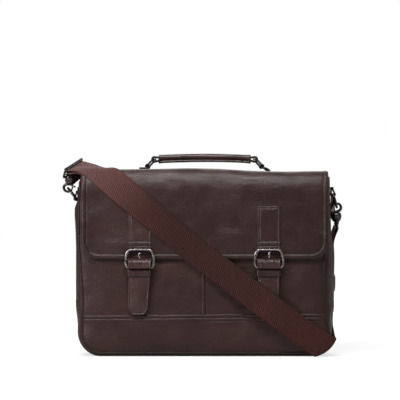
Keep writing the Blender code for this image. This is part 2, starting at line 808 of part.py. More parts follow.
def make_hook(side, name):
    along, out, square = hook_frame(side)
    start = dring_bow(side)

    def at(a, o, s=0.0):
        return start + along * a + out * o + square * s

    bow = [at(HOOK_RADIUS * sin(t), HOOK_RADIUS * cos(t)) for t in
           (radians(80 - 245 * i / 14) for i in range(15))]
    path = [at(0.0145, 0.0), at(0.0105, 0.0)] + bow
    hook = sweep("hook_" + name, path, HOOK_WIRE, gunmetal(), start_side=square)
    place_origin(hook, at(0.016, 0))

    hinge = at(0.0098, -0.0034)
    tip = at(-0.0004, -0.0068)
    gate = sweep("hook_gate_" + name, [hinge, (hinge + tip) / 2, tip], 0.0010, gunmetal(), sides=6,
                 start_side=square)
    place_origin(gate, hinge)

    width = WEB_BAR_AIM[side].normalized()
    length = (WEB_BAR[side] - start).length
    low, high = HOOK_EYE_START, length
    outline = rounded_rectangle(WEB_WIDTH + 0.0050, high - low, 0.0035, 3)
    ring_path = [start + along * ((low + high) / 2 + h) + width * w for w, h in outline]
    wire = HOOK_EYE_WIRE
    eye = sweep("hook_eye_" + name, ring_path, wire, gunmetal(), closed=True, start_side=out)
    barrel = sweep(
        "barrel_guide_" + name,
        [start + along * 0.0150, start + along * 0.0252],
        0.0034,
        gunmetal(),
        sides=12,
        start_side=out,
    )
    join(eye, barrel)


def make_adjuster():
    """The three-bar slide on the hidden run of the shoulder strap."""
    up = Vector((0, 0, 1))
    across = Vector(ADJUSTER_ACROSS).normalized()
    out = across.cross(up)
    middle = Vector(ADJUSTER_CENTRE) + out * ADJUSTER_LIFT
    outline = rounded_rectangle(WEB_WIDTH + 0.007, ADJUSTER_HEIGHT, 0.004, 3)
    path = [middle + across * w + up * h for w, h in outline]
    wire = ADJUSTER_WIRE
    frame = sweep("strap_adjuster", path, wire, gunmetal(), closed=True, start_side=out)
    reach = across * (WEB_WIDTH / 2 + 0.0035)
    ends = [middle - reach, middle + reach]
    bar = sweep("adjuster_bar_guide", ends, wire - 0.0001, gunmetal(), start_side=out)
    join(frame, bar)


def build():
    clear_scene()
    make_front()
    make_back()
    make_piping()
    make_gussets()
    make_inside()
    make_flap()
    for name, side in (("left", LEFT), ("right", RIGHT)):
        make_closure(side, name)
        make_dring(side, name)
        make_hook(side, name)
    make_handle_tabs()
    make_handle()
    make_webbing()
    make_adjuster()


build()
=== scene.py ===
"""Looks of the leather satchel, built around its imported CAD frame. Metres, front towards -Y."""

from math import cos, pi, radians, sin

import bmesh
import bpy
import numpy as np
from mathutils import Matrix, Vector


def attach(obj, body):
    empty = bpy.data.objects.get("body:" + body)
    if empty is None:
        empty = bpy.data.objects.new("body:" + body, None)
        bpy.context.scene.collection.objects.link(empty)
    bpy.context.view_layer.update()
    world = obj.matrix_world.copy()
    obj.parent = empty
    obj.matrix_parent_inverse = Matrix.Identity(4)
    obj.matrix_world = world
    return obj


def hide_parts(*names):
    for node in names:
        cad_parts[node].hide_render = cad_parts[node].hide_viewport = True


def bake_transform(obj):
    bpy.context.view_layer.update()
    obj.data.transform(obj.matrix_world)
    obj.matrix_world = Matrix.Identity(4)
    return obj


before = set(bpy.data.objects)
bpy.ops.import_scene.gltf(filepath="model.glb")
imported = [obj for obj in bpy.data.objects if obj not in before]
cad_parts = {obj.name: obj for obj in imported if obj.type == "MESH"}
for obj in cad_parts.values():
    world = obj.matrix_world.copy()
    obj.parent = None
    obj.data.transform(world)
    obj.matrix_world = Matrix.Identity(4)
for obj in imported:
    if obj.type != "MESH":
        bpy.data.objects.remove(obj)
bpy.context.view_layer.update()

# ---------------------------------------------------------------- sizes shared with the CAD model
HALF = 0.183                      # half width of the panels before their sag
DEPTH = 0.0475                    # outer face of the front and back panels
LOW = 0.0075                      # lower edge of the panels
CORNER = 0.028
PANEL_LOW = 0.056                 # where the panels go under the base band
PANEL_TOP = 0.262
BACK_TOP = 0.2795
BAND_TOP = 0.0635
BAND_ROWS = (0.0044, 0.01)      # stitch rows below the band's edge
SEAM_X = -0.003                  # the front's middle seam
GUSSET_TOP = 0.277
GUSSET_SEAM = 0.083
FLAP_HALF = 0.188
FLAP_CORNER = 0.026
FLAP_LOW = 0.1485
FLAP_FRONT = 0.054
FLAP_BEND = 0.015                # how far back the flap's bend reaches
FLAP_RISE = 0.032                # and how far up
BACK_Y = 0.051                   # outer face of the flap's back band
BACK_BEND = 0.007
STRAP_X = 0.0975
STRAP_HALF = 0.0165
STRAP_TOP = 0.2285
STRAP_ROWS = (0.1755, 0.1685)     # stitch rows across a closure strap
BUCKLE_Z = 0.148
BUCKLE_Y = -0.0606
GRIP_HALF = 0.0708
WEB_WIDTH = 0.04
WEB_THICK = 0.0015
WEB_MID = 8                       # the middle of a webbing row's 17 points
PANEL_THICK = 0.0022              # thicknesses of the visible leathers
BAND_THICK = 0.0016
GUSSET_THICK = 0.002
FLAP_THICK = 0.0025
PATCH_THICK = 0.003
TAIL_THICK = 0.0026
LOOP_PITCH = 0.0016               # between points along closed wires and loops
SIDES = (("left", -1), ("right", 1))
BACK_SHARE = 0.35                 # how much of the front's sideways sag the back has
FRONT_WAY, BACK_WAY = (0, -1, 0), (0, 1, 0)


# ---------------------------------------------------------------- numeric helpers
LATTICES = [np.random.default_rng(seed).uniform(-1, 1, (24, 24, 24)) for seed in range(6)]


def noise(p, size, seed=0):
    """Smooth noise from -1 to 1 at points, with features of one size in metres."""
    q = np.asarray(p, float) / size + 7.3 * (seed + 1)
    cell = np.floor(q).astype(int)
    t = q - cell
    t = t * t * (3 - 2 * t)
    total = 0.0
    for corner in np.ndindex(2, 2, 2):
        weight = np.prod([t[..., k] if c else 1 - t[..., k] for k, c in enumerate(corner)], axis=0)
        at = (cell + corner) % 24
        total = total + weight * LATTICES[seed % 6][at[..., 0], at[..., 1], at[..., 2]]
    return total


def step(a, b, x):
    """0 below a, 1 above b, and smooth between."""
    t = np.clip((np.asarray(x, float) - a) / (b - a), 0, 1)
    return t * t * (3 - 2 * t)


def bell(x, middle, width):
    """1 at the middle, falling away on both sides."""
    return np.exp(-(((x - middle) / width) ** 2))


def stack(x, y, z):
    """Points from their coordinates, which may be numbers or fields."""
    return np.stack(np.broadcast_arrays(np.asarray(x, float), y, z), -1)


def unit(v):
    return v / np.maximum(np.linalg.norm(v, axis=-1, keepdims=True), 1e-12)


def turn(first, last, count):
    """Cosine and sine pairs from one angle to another, in degrees."""
    return [(cos(a), sin(a)) for a in np.radians(np.linspace(first, last, count))]


def distances(points):
    """How far along a line each of its points is."""
    return np.concatenate([[0], np.cumsum(np.linalg.norm(np.diff(points, axis=0), axis=1))])


def at_runs(runs, known, points):
    """Points at new places along a line whose places are known."""
    return np.stack([np.interp(runs, known, column) for column in np.transpose(points)], -1)


def smooth_path(points, count, closed=False):
    """A smooth curve through the points, at even steps of their own order."""
    p = np.asarray(points, float)
    n = len(p)
    spans = n if closed else n - 1
    out = []
    for t in np.linspace(0, spans, count, endpoint=not closed):
        i = min(int(t), spans - 1)
        f = t - i
        near = [(i + k) % n if closed else min(max(i + k, 0), n - 1) for k in (-1, 0, 1, 2)]
        a, b, c, d = p[near]
        out.append(0.5 * (2 * b + (c - a) * f + (2 * a - 5 * b + 4 * c - d) * f**2
                          + (3 * b - a - 3 * c + d) * f**3))
    return np.array(out)


def even_path(points, pitch):
    """The same line with points at equal distances."""
    run = distances(points)
    count = max(2, int(round(run[-1] / pitch)) + 1)
    return at_runs(np.linspace(0, run[-1], count), run, points)


def rounded_loop(wide, tall, corner, count):
    """A rounded rectangle as pairs, closed, from its half sizes up to the corners."""
    rx, ry = corner
    pairs = []
    for k, (u, v) in enumerate(((wide, tall), (-wide, tall), (-wide, -tall), (wide, -tall))):
        pairs += [(u + rx * c, v + ry * s) for c, s in turn(90 * k, 90 * k + 90, count)]
    return np.array(pairs + pairs[:1])


def loop_path(middle, across, up, pairs, pitch):
    """A closed line in space from pairs in a plane, at even steps."""
    return even_path(middle + pairs[:, :1] * across + pairs[:, 1:] * up, pitch)[:-1]


def columns(low, high, count):
    """Places across, closer together towards both ends."""
    t = np.linspace(-1, 1, count)
    return (low + high) / 2 + (high - low) / 2 * np.sin(pi / 2 * t)


# ---------------------------------------------------------------- mesh helpers
RIM_STEPS = 3                     # points round the edge of a sheet


def add_mesh(name, points, faces, look, smooth=60):
    """A mesh object, with edges sharper than so many degrees left sharp."""
    mesh = bpy.data.meshes.new(name)
    mesh.from_pydata(np.asarray(points, float).reshape(-1, 3).tolist(), [], faces)
    edit = bmesh.new()
    edit.from_mesh(mesh)
    bmesh.ops.recalc_face_normals(edit, faces=edit.faces)
    edit.to_mesh(mesh)
    edit.free()
    mesh.shade_smooth()
    mesh.set_sharp_from_angle(angle=radians(smooth))
    mesh.materials.append(look)
    made = bpy.data.objects.new(name, mesh)
    bpy.context.scene.collection.objects.link(made)
    return made


def finish(piece, body, slot, *replaced):
    """The body a piece moves with, its material slot (not used), and the CAD solids it stands for.
    """
    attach(piece, body)
    if replaced:
        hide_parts(*replaced)


def ring_faces(a, b):
    """Faces between two rings of point numbers."""
    n = len(a)
    return [(int(a[i]), int(a[(i + 1) % n]), int(b[(i + 1) % n]), int(b[i])) for i in range(n)]


def slab(name, grid, thickness, look, flip=False, both=False, marks=None):
    """A closed sheet with rounded edges. The grid is its outer face, or its middle if both."""
    grid = np.asarray(grid, float)
    rows, cols = grid.shape[:2]
    count = rows * cols
    du, dv = np.gradient(grid, axis=0), np.gradient(grid, axis=1)
    normal = unit(np.cross(du, dv)) * (-1 if flip else 1)
    half = thickness / 2
    middle = grid if both else grid - normal * half
    points = [(middle + way * normal * half).reshape(-1, 3) for way in (1, -1)]
    faces = []
    for a in (r * cols + c for r in range(rows - 1) for c in range(cols - 1)):
        b = a + cols
        faces.append((a, a + 1, b + 1, b))
        faces.append((count + a, count + b, count + b + 1, count + a + 1))
    index = np.arange(count).reshape(rows, cols)
    rim = np.concatenate([index[0], index[1:, -1], index[-1, -2::-1], index[-2:0:-1, 0]])
    away = np.zeros((rows, cols, 3))
    away[0] -= unit(du[0])
    away[-1] += unit(du[-1])
    away[:, 0] -= unit(dv[:, 0])
    away[:, -1] += unit(dv[:, -1])
    away, mid, up = (field.reshape(-1, 3)[rim] for field in (unit(away), middle, normal))
    previous = rim
    for k in range(1, RIM_STEPS + 1):
        angle = pi * k / (RIM_STEPS + 1)
        points.append(mid + half * (up * cos(angle) + away * sin(angle)))
        now = 2 * count + (k - 1) * len(rim) + np.arange(len(rim))
        faces += ring_faces(previous, now)
        previous = now
    faces += ring_faces(previous, count + rim)
    made = add_mesh(name, np.concatenate(points), faces, look, 75)
    if marks is not None:
        flat = marks.reshape(-1, 2)
        flat = np.concatenate([flat, flat] + [flat[rim]] * RIM_STEPS)
        layer = made.data.attributes.new("cloth_at", "FLOAT_VECTOR", "POINT")
        layer.data.foreach_set("vector", np.c_[flat, np.zeros(len(flat))].ravel())
    return made


def circle(rx, rz=None, sides=12, power=1.0):
    """A closed section, round or squarish, as pairs."""
    rz = rx if rz is None else rz
    t = np.arange(sides) * 2 * pi / sides
    c, s = np.cos(t), np.sin(t)
    return np.stack([r * np.sign(v) * np.abs(v) ** power for r, v in ((rx, c), (rz, s))], -1)


def loft(name, rings, look, closed=False, smooth=60):
    """Rings of equal count joined into one skin, with end faces unless it closes on itself."""
    rows, count = len(rings), len(rings[0])
    spots = np.arange(count)
    faces = []
    for r in range(rows if closed else rows - 1):
        faces += ring_faces(r * count + spots, (r + 1) % rows * count + spots)
    if not closed:
        faces += [tuple(range(first, first + count)) for first in (0, (rows - 1) * count)]
    return add_mesh(name, rings, faces, look, smooth)


def tube(name, path, section, look, closed=False, side=BACK_WAY, scales=None, domed=True):
    """A section swept along a path, its first axis kept near the side direction."""
    path = np.asarray(path, float)
    if closed:
        along = unit(np.roll(path, -1, 0) - np.roll(path, 1, 0))
    else:
        along = unit(np.gradient(path, axis=0))
    scales = np.ones(len(path)) if scales is None else scales
    across = np.array(side, float)
    rings = []
    for spot, way, scale in zip(path, along, scales):
        across = across - way * across.dot(way)
        across /= np.linalg.norm(across)
        other = np.cross(way, across)
        rings.append(spot + scale * (section[:, :1] * across + section[:, 1:] * other))
    if domed and not closed:
        for end, order in ((0, -1), (-1, 1)):
            depth = np.abs(section).max() * scales[end] * 0.8
            caps = []
            for a in (pi / 2 * k / 3.3 for k in (1, 2, 3)):
                caps.append(path[end] + (rings[end] - path[end]) * cos(a)
                            + order * along[end] * depth * sin(a))
            rings = caps[::-1] + rings if order < 0 else rings + caps
    return loft(name, rings, look, closed)


def merge(name, pieces):
    """Several pieces made into one object."""
    bpy.ops.object.select_all(action="DESELECT")
    for piece in pieces:
        piece.select_set(True)
    bpy.context.view_layer.objects.active = pieces[0]
    bpy.ops.object.join()
    pieces[0].name = name
    pieces[0].data.name = name
    return pieces[0]


STITCH_PITCH, STITCH_LENGTH, STITCH_RADIUS = 0.0041, 0.0031, 0.00044
STITCH_AT = np.array([0.0, 0.16, 0.5, 0.84, 1.0])           # the rings along one stitch
STITCH_LIFT = STITCH_RADIUS * np.array([-0.6, 0.35, 0.7, 0.35, -0.6])
STITCH_SIZE = STITCH_RADIUS * np.array([0.45, 1.0, 1.08, 1.0, 0.45])


def stitches(name, seams, look):
    """Rows of thread stitches. Each seam is a line of surface points with the way out there."""
    points, faces = [], []
    sides = 6
    spots = np.arange(sides)
    section = circle(1.0, sides=sides)
    for path, out in seams:
        path = np.asarray(path, float)
        out = np.broadcast_to(np.asarray(out, float), path.shape)
        run = distances(path)
        count = max(1, int(run[-1] / STITCH_PITCH))
        spare = (run[-1] - count * STITCH_PITCH + STITCH_PITCH - STITCH_LENGTH) / 2
        for i in range(count):
            base = len(points)
            at = spare + i * STITCH_PITCH + STITCH_LENGTH * STITCH_AT
            line = at_runs(at, run, path)
            ups = unit(at_runs(at, run, out))
            along = unit(line[-1] - line[0])
            for spot, up, lift, size in zip(line, ups, STITCH_LIFT, STITCH_SIZE):
                across = np.cross(along, up)
                points += [spot + up * lift + size * (u * across + v * up) for u, v in section]
            for k in range(4):
                faces += ring_faces(base + k * sides + spots, base + (k + 1) * sides + spots)
            faces += [tuple(base + k * sides + j for j in range(sides)) for k in (0, 4)]
    return add_mesh(name, points, faces, look, 80)


# ---------------------------------------------------------------- materials
class Look:
    """Short ways to build one node material."""

    def __init__(self, name):
        self.material = bpy.data.materials.new(name)
        self.material.use_nodes = True
        self.tree = self.material.node_tree
        self.shader = self.tree.nodes["Principled BSDF"]

    def node(self, kind, **settings):
        made = self.tree.nodes.new(kind)
        for key, value in settings.items():
            if key in made.inputs:
                self.feed(made.inputs[key], value)
            else:
                setattr(made, key, value)
        return made

    def feed(self, socket, value):
        if isinstance(value, bpy.types.NodeSocket):
            self.tree.links.new(value, socket)
        else:
            socket.default_value = value

    def place(self):
        return self.node("ShaderNodeTexCoord").outputs["Object"]

    def noise(self, vector, scale, detail=3.0, roughness=0.55, distortion=0.0):
        if isinstance(scale, tuple):
            vector = self.node("ShaderNodeMapping", Vector=vector, Scale=scale).outputs["Vector"]
            scale = 1.0
        made = self.node("ShaderNodeTexNoise", Vector=vector, Scale=scale, Detail=detail,
                         Roughness=roughness, Distortion=distortion)
        return made.outputs["Fac"]

    def math(self, operation, a, b=0.5, c=0.0):
        made = self.node("ShaderNodeMath", operation=operation)
        for socket, value in zip(made.inputs, (a, b, c)):
            self.feed(socket, value)
        return made.outputs[0]

    def wave(self, value, pitch):
        return self.math("SINE", self.math("MULTIPLY", value, 2 * pi / pitch))

    def ramp(self, value, stops):
        made = self.node("ShaderNodeValToRGB", Fac=value)
        ramp = made.color_ramp
        while len(ramp.elements) < len(stops):
            ramp.elements.new(0.5)
        for element, (position, colour) in zip(ramp.elements, stops):
            element.position = position
            element.color = (*colour, 1)
        return made.outputs["Color"]

    def between(self, value, low, high, to_low, to_high):
        made = self.node("ShaderNodeMapRange", Value=value)
        for key, number in (("From Min", low), ("From Max", high),
                            ("To Min", to_low), ("To Max", to_high)):
            self.feed(made.inputs[key], number)
        return made.outputs["Result"]

    def mix(self, share, a, b):
        made = self.node("ShaderNodeMix", data_type="RGBA", blend_type="MIX")
        self.feed(made.inputs[0], share)
        self.feed(made.inputs[6], a)
        self.feed(made.inputs[7], (*b, 1))
        return made.outputs[2]

    def bump(self, height, distance, strength=1.0, normal=None):
        made = self.node("ShaderNodeBump", Height=height, Distance=distance, Strength=strength)
        if normal is not None:
            self.feed(made.inputs["Normal"], normal)
        return made.outputs["Normal"]

    def set(self, **values):
        for key, value in values.items():
            name = key.replace("_", " ").title().replace("Ior", "IOR")
            self.feed(self.shader.inputs[name], value)
        return self.material


def leather_look(name, tone, rough=0.39, grain=1.0, gloss=0.34, top_highlight=False):
    """Drum-dyed leather: soft mottling, pebbled grain, fine creases and a satin finish."""
    look = Look(name)
    at = look.place()
    base = np.array([0.0365, 0.0143, 0.0124]) * tone
    cloud = look.noise(at, 14.0, 4.0, 0.6)
    patch = look.noise(at, 75.0, 5.0, 0.65, 0.6)
    colour = look.ramp(cloud, [(0.3, base * 0.72), (0.5, base), (0.72, base * 1.42)])
    colour = look.mix(look.between(patch, 0.35, 0.75, 0.0, 0.45), colour, base * 1.25)
    pebble = look.node("ShaderNodeTexVoronoi", feature="F1", Vector=at, Scale=760.0,
                       Randomness=0.95)
    crease = look.node("ShaderNodeTexVoronoi", feature="DISTANCE_TO_EDGE", Vector=at, Scale=430.0)
    line = look.between(crease.outputs["Distance"], 0.0, 0.16, 0.0, 1.0)
    colour = look.mix(look.between(line, 0.0, 1.0, 0.35, 0.0), colour, base * 0.35)
    height = look.math("MULTIPLY_ADD", pebble.outputs["Distance"], -0.55, line)
    height = look.math("MULTIPLY_ADD", look.noise(at, 2600.0, 2.0, 0.5), 0.3, height)
    normal = look.bump(look.noise(at, (22.0, 22.0, 30.0), 1.0, 0.4), 0.006)
    normal = look.bump(look.noise(at, (120.0, 120.0, 260.0), 4.0, 0.65), 0.0006, 1.0, normal)
    normal = look.bump(height, 0.00016, 0.55 * grain, normal)
    roughness = look.between(look.math("MULTIPLY_ADD", patch, 0.6, cloud), 0.45, 1.05,
                             rough - 0.07, rough + 0.12)
    # Painted highlight: along the top of the flap, where the top light falls, the colour is
    # lightened in blotches; the roughness is lowered there too, as burnish.
    if top_highlight:
        up = look.node("ShaderNodeSeparateXYZ", Vector=at).outputs["Z"]
        blotch = look.noise(at, (26.0, 26.0, 60.0), 3.0, 0.6)
        highlight_share = look.math("MULTIPLY", look.between(up, 0.25, 0.279, 0.0, 1.0),
                         look.between(blotch, 0.36, 0.6, 0.12, 1.0))
        highlight_colour = base * np.array([2.6, 4.2, 4.6])
        colour = look.mix(look.math("MULTIPLY", highlight_share, 0.85), colour, highlight_colour)
        roughness = look.math("MULTIPLY_ADD", highlight_share, -0.05, roughness)
    return look.set(base_color=colour, roughness=roughness, normal=normal, specular_ior_level=gloss,
                    coat_weight=0.06, coat_roughness=0.3)


def webbing_look(name):
    """Ribbed webbing: ribs across, warp bands along, a bound edge, and painted light along its
    length: a painted highlight at its start, painted shade further on.
    """
    look = Look(name)
    at = look.node("ShaderNodeAttribute", attribute_name="cloth_at").outputs["Vector"]
    split = look.node("ShaderNodeSeparateXYZ", Vector=at)
    across, along = split.outputs["X"], split.outputs["Y"]
    rib = look.wave(look.math("MULTIPLY_ADD", across, 0.3, along), 0.0034)
    warp = look.wave(across, 0.00125)
    band = look.wave(across, 0.01)
    edge = look.between(look.math("ABSOLUTE", across), WEB_WIDTH / 2 - 0.0026,
                        WEB_WIDTH / 2 - 0.002, 0.0, 1.0)
    cloud = look.noise(look.place(), 20.0, 3.0, 0.6)
    fuzz = look.noise(look.place(), 900.0, 3.0, 0.6)
    base = np.array([0.066, 0.0205, 0.0165])
    colour = look.ramp(cloud, [(0.3, base * 0.82), (0.7, base * 1.22)])
    share = look.math("MULTIPLY", look.between(rib, -1.0, 0.5, 1.0, 0.0),
                      look.between(along, 0.1, 0.26, 0.78, 0.42))
    colour = look.mix(share, colour, base * 0.33)
    warm = base * np.array([1.5, 1.05, 1.05])
    colour = look.mix(look.between(band, -1.0, 1.0, 0.0, 0.22), colour, warm)
    colour = look.mix(look.between(fuzz, 0.35, 0.75, 0.0, 0.3), colour, base * 1.45)
    colour = look.mix(look.math("MULTIPLY", edge, 0.35), colour, base * 0.55)
    # Painted shade: the colour is darkened along the strap's middle run.
    shaded = look.math("MULTIPLY", look.between(along, 0.09, 0.19, 0.0, 0.62),
                       look.between(along, 0.32, 0.44, 1.0, 0.15))
    colour = look.mix(shaded, colour, base * np.array([0.38, 0.42, 0.4]))
    # Painted highlight: the start of the strap, over the flap's top, is lightened to a pale pink.
    colour = look.mix(look.between(along, 0.015, 0.15, 0.66, 0.0), colour, (0.165, 0.084, 0.08))
    height = look.math("MULTIPLY_ADD", warp, 0.35, rib)
    height = look.math("MULTIPLY_ADD", fuzz, 0.4, height)
    return look.set(base_color=colour, roughness=look.between(rib, -1.0, 1.0, 0.78, 0.6),
                    normal=look.bump(height, 0.0003), specular_ior_level=0.2, sheen_weight=0.12,
                    sheen_roughness=0.3, sheen_tint=(0.95, 0.62, 0.58, 1))


def metal_look(name, tone, rough):
    """Dark plating, darker and rubbed brighter in random patches."""
    look = Look(name)
    at = look.place()
    wear = look.noise(at, 260.0, 4.0, 0.6)
    scratch = look.noise(at, (1500.0, 1500.0, 160.0), 2.0, 0.5)
    base = np.array([0.112, 0.1, 0.097]) * tone
    colour = look.ramp(wear, [(0.35, base * 0.72), (0.55, base), (0.72, base * 1.9)])
    roughness = look.between(look.math("MULTIPLY_ADD", scratch, 0.5, wear), 0.4, 1.0,
                             rough - 0.06, rough + 0.12)
    return look.set(base_color=colour, roughness=roughness, normal=look.bump(scratch, 0.00003, 0.5),
                    metallic=1.0)


def cloth_look(name, colour, pitch=0.0009):
    """Plain-woven lining cloth with crossing threads."""
    look = Look(name)
    at = look.place()
    split = look.node("ShaderNodeSeparateXYZ", Vector=at).outputs
    warp = look.wave(look.math("ADD", split["X"], split["Y"]), pitch)
    weft = look.wave(look.math("SUBTRACT", split["Z"], split["Y"]), pitch)
    weave = look.math("MULTIPLY", warp, weft)
    cloud = look.noise(at, 30.0, 3.0, 0.6)
    slub = look.noise(at, (90.0, 90.0, 900.0), 2.0, 0.5)
    base = np.array(colour)
    shade = look.ramp(cloud, [(0.3, base * 0.8), (0.7, base * 1.2)])
    shade = look.mix(look.between(weave, -1.0, 1.0, 0.35, 0.0), shade, base * 0.5)
    shade = look.mix(look.between(slub, 0.5, 0.8, 0.0, 0.4), shade, base * 1.5)
    return look.set(base_color=shade, roughness=look.between(cloud, 0.3, 0.7, 0.8, 0.92),
                    normal=look.bump(weave, 0.0001, 0.7), sheen_weight=0.05)


def thread_look(name, colour):
    """Waxed thread with a fine twist."""
    look = Look(name)
    twist = look.noise(look.place(), 3200.0, 2.0, 0.5)
    base = np.array(colour)
    return look.set(base_color=look.ramp(twist, [(0.35, base * 0.7), (0.65, base * 1.3)]),
                    roughness=look.between(twist, 0.3, 0.7, 0.45, 0.65),
                    normal=look.bump(twist, 0.0001, 0.5))


PANEL = leather_look("panel_leather_look", 1.04)
FLAP = leather_look("flap_leather_look", 0.86, rough=0.36, gloss=0.36, top_highlight=True)
TRIM = leather_look("trim_leather_look", 1.0, rough=0.33, grain=0.8, gloss=0.44)
# EDGE is a lighter copy of the leather: a painted highlight on the rolled edges.
EDGE = leather_look("edge_leather_look", 1.45, rough=0.36, grain=0.5)
# DARK is a darker copy of the leather: painted shade along the piping and behind the hooks, and the
# darker tone of the handle's loops, tabs and pads.
DARK = leather_look("piping_leather_look", 0.55, rough=0.4, grain=0.5)
# SHADE is a much darker copy of the leather: painted shade in the buckles' windows.
SHADE = leather_look("painted_shade_leather_look", 0.4, rough=0.55, grain=0.8, gloss=0.16)
# TAIL is a lighter copy of the strap leather: a painted highlight on the closure folds and tails.
TAIL = leather_look("strap_leather_look", 1.32, rough=0.3, grain=0.9, gloss=0.5)
# GRIP is a glossier copy of the leather, and its lighter tone is a painted highlight on the grip.
GRIP = leather_look("grip_leather_look", 1.15, rough=0.27, grain=0.6, gloss=0.75)
WEB = webbing_look("webbing_look")
METAL = metal_look("gunmetal_look", 3.3, 0.2)
# BRIGHT is a lighter copy of the gunmetal: a painted highlight on the prongs.
BRIGHT = metal_look("gunmetal_painted_highlight_look", 5.0, 0.18)
HOOKS = metal_look("black_nickel_look", 0.75, 0.19)
RINGS = metal_look("ring_look", 1.5, 0.17)
CLOTH = cloth_look("lining_look", (0.11, 0.062, 0.04))
BOARD = cloth_look("board_look", (0.2, 0.15, 0.1), 0.0016)
THREAD = thread_look("thread_look", (0.106, 0.07, 0.059))
DARK_THREAD = thread_look("dark_thread_look", (0.05, 0.03, 0.026))


def sew(name, seams, body, slot, look=THREAD):
    finish(stitches(name, seams, look), body, slot)


def leather_loop(node, side, line, count, pitch, section, look, body):
    """A flat strip of leather bent along a line in the middle plane."""
    path = smooth_path([(side * x, 0.0, z) for x, z in line], count)
    loop = tube(node + "_skin", even_path(path, pitch), section, look, domed=False)
    finish(loop, body, "trim_leather", node)


def dress_hidden(node, look):
    """A CAD solid that stays in view gets a look of its own."""
    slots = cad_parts[node].data.materials
    slots.clear()
    slots.append(look)


# ---------------------------------------------------------------- camera, light and floor
CAMERA_DISTANCE = 3.2             # from the bag's front
VIEW_WIDTH = 0.608                # what the camera takes in at that distance
WHITE = (1, 1, 1, 1)


def add_lamp(name, place, aim, size, power, size_y=None):
    data = bpy.data.lights.new(name, "AREA")
    data.shape = "RECTANGLE"
    data.size = size
    data.size_y = size_y or size
    data.energy = power
    item = bpy.data.objects.new(name, data)
    item.location = place
    item.rotation_euler = (Vector(aim) - Vector(place)).to_track_quat("-Z", "Y").to_euler()
    bpy.context.scene.collection.objects.link(item)


def make_stage():
    scene = bpy.context.scene
    camera_data = bpy.data.cameras.new("camera")
    camera = bpy.data.objects.new("camera", camera_data)
    scene.collection.objects.link(camera)
    camera.location = (-0.0072, -CAMERA_DISTANCE - 0.055, 0.2386)
    camera.rotation_euler = (pi / 2, 0, 0)
    camera_data.sensor_width = 36.0
    camera_data.lens = camera_data.sensor_width * CAMERA_DISTANCE / VIEW_WIDTH
    scene.camera = camera
    scene.view_settings.view_transform = "Standard"
    scene.view_settings.look = "None"

    world = bpy.data.worlds.new("studio")
    scene.world = world
    world.use_nodes = True
    tree = world.node_tree
    soft = tree.nodes["Background"]
    white = tree.nodes.new("ShaderNodeBackground")
    for background, strength in ((soft, 0.07), (white, 1.0)):
        background.inputs["Color"].default_value = WHITE
        background.inputs["Strength"].default_value = strength
    path = tree.nodes.new("ShaderNodeLightPath")
    mix = tree.nodes.new("ShaderNodeMixShader")
    tree.links.new(path.outputs["Is Camera Ray"], mix.inputs[0])
    tree.links.new(soft.outputs[0], mix.inputs[1])
    tree.links.new(white.outputs[0], mix.inputs[2])
    tree.links.new(mix.outputs[0], tree.nodes["World Output"].inputs["Surface"])

    look = Look("floor_look")
    away = look.node("ShaderNodeVectorMath", operation="LENGTH")
    look.feed(away.inputs[0], look.place())
    glow = look.between(away.outputs["Value"], 0.35, 2.2, 0.62, 1.0)
    seen = look.node("ShaderNodeLightPath").outputs["Is Camera Ray"]
    strength = look.math("MULTIPLY_ADD", seen, look.math("SUBTRACT", glow, 0.06), 0.06)
    look.set(base_color=(0.5, 0.5, 0.5, 1), roughness=0.9, emission_color=WHITE,
             emission_strength=strength)
    size = 9.0
    corners = [(-size, -size, 0), (size, -size, 0), (size, size, 0), (-size, size, 0)]
    add_mesh("floor", corners, [(0, 1, 2, 3)], look.material)

    add_lamp("key_light", (-0.92, -0.74, 0.55), (-0.1, 0, 0.13), 0.42, 7.4)
    add_lamp("top_light", (-0.1, -0.9, 1.3), (0, 0, 0.2), 1.0, 15.5, 0.35)
    add_lamp("fill_light", (1.6, -1.7, 0.8), (0, 0, 0.15), 1.2, 0.8)
    add_lamp("back_light", (0.0, 1.6, 1.5), (0, 0, 0.15), 1.6, 20.0)
    add_lamp("side_light", (1.8, 0.55, 0.9), (0.1, 0, 0.15), 0.9, 7.5)


# ---------------------------------------------------------------- case
LEFT_SAG = ((0.0, 0.185), (0.03, 0.186), (0.06, 0.1845), (0.1, 0.1845), (0.145, 0.1878),
            (0.185, 0.19), (0.29, 0.1885))
RIGHT_SAG = ((0.0, 0.187), (0.03, 0.1885), (0.045, 0.186), (0.067, 0.182), (0.1, 0.18),
             (0.145, 0.1803), (0.185, 0.184), (0.29, 0.187))
SAGS = [smooth_path(table, 90) for table in (LEFT_SAG, RIGHT_SAG)]


def case_x(x, z, share=1.0):
    """The case's sideways sag: where a place on the flat panel comes to lie."""
    left, right = (np.interp(z, sag[:, 0], sag[:, 1]) for sag in SAGS)
    half = np.where(np.asarray(x) < 0, left, right)
    return x / HALF * (HALF + (half - HALF) * share)


def low_edge(x, half=HALF, corner=CORNER, low=LOW):
    """Height of the rounded lower edge at a place across."""
    past = np.clip(np.abs(x) - (half - corner), 0, corner)
    return low + corner - np.sqrt(np.maximum(corner**2 - past**2, 0))


def edge_distance(x, z, half=HALF, corner=CORNER, low=LOW):
    """Distance in from the sides and the rounded lower edge."""
    px, pz = np.abs(x) - (half - corner), (low + corner) - z
    inside = np.minimum(half - np.abs(x), z - low)
    return np.where((px > 0) & (pz > 0), corner - np.hypot(px, pz), inside)


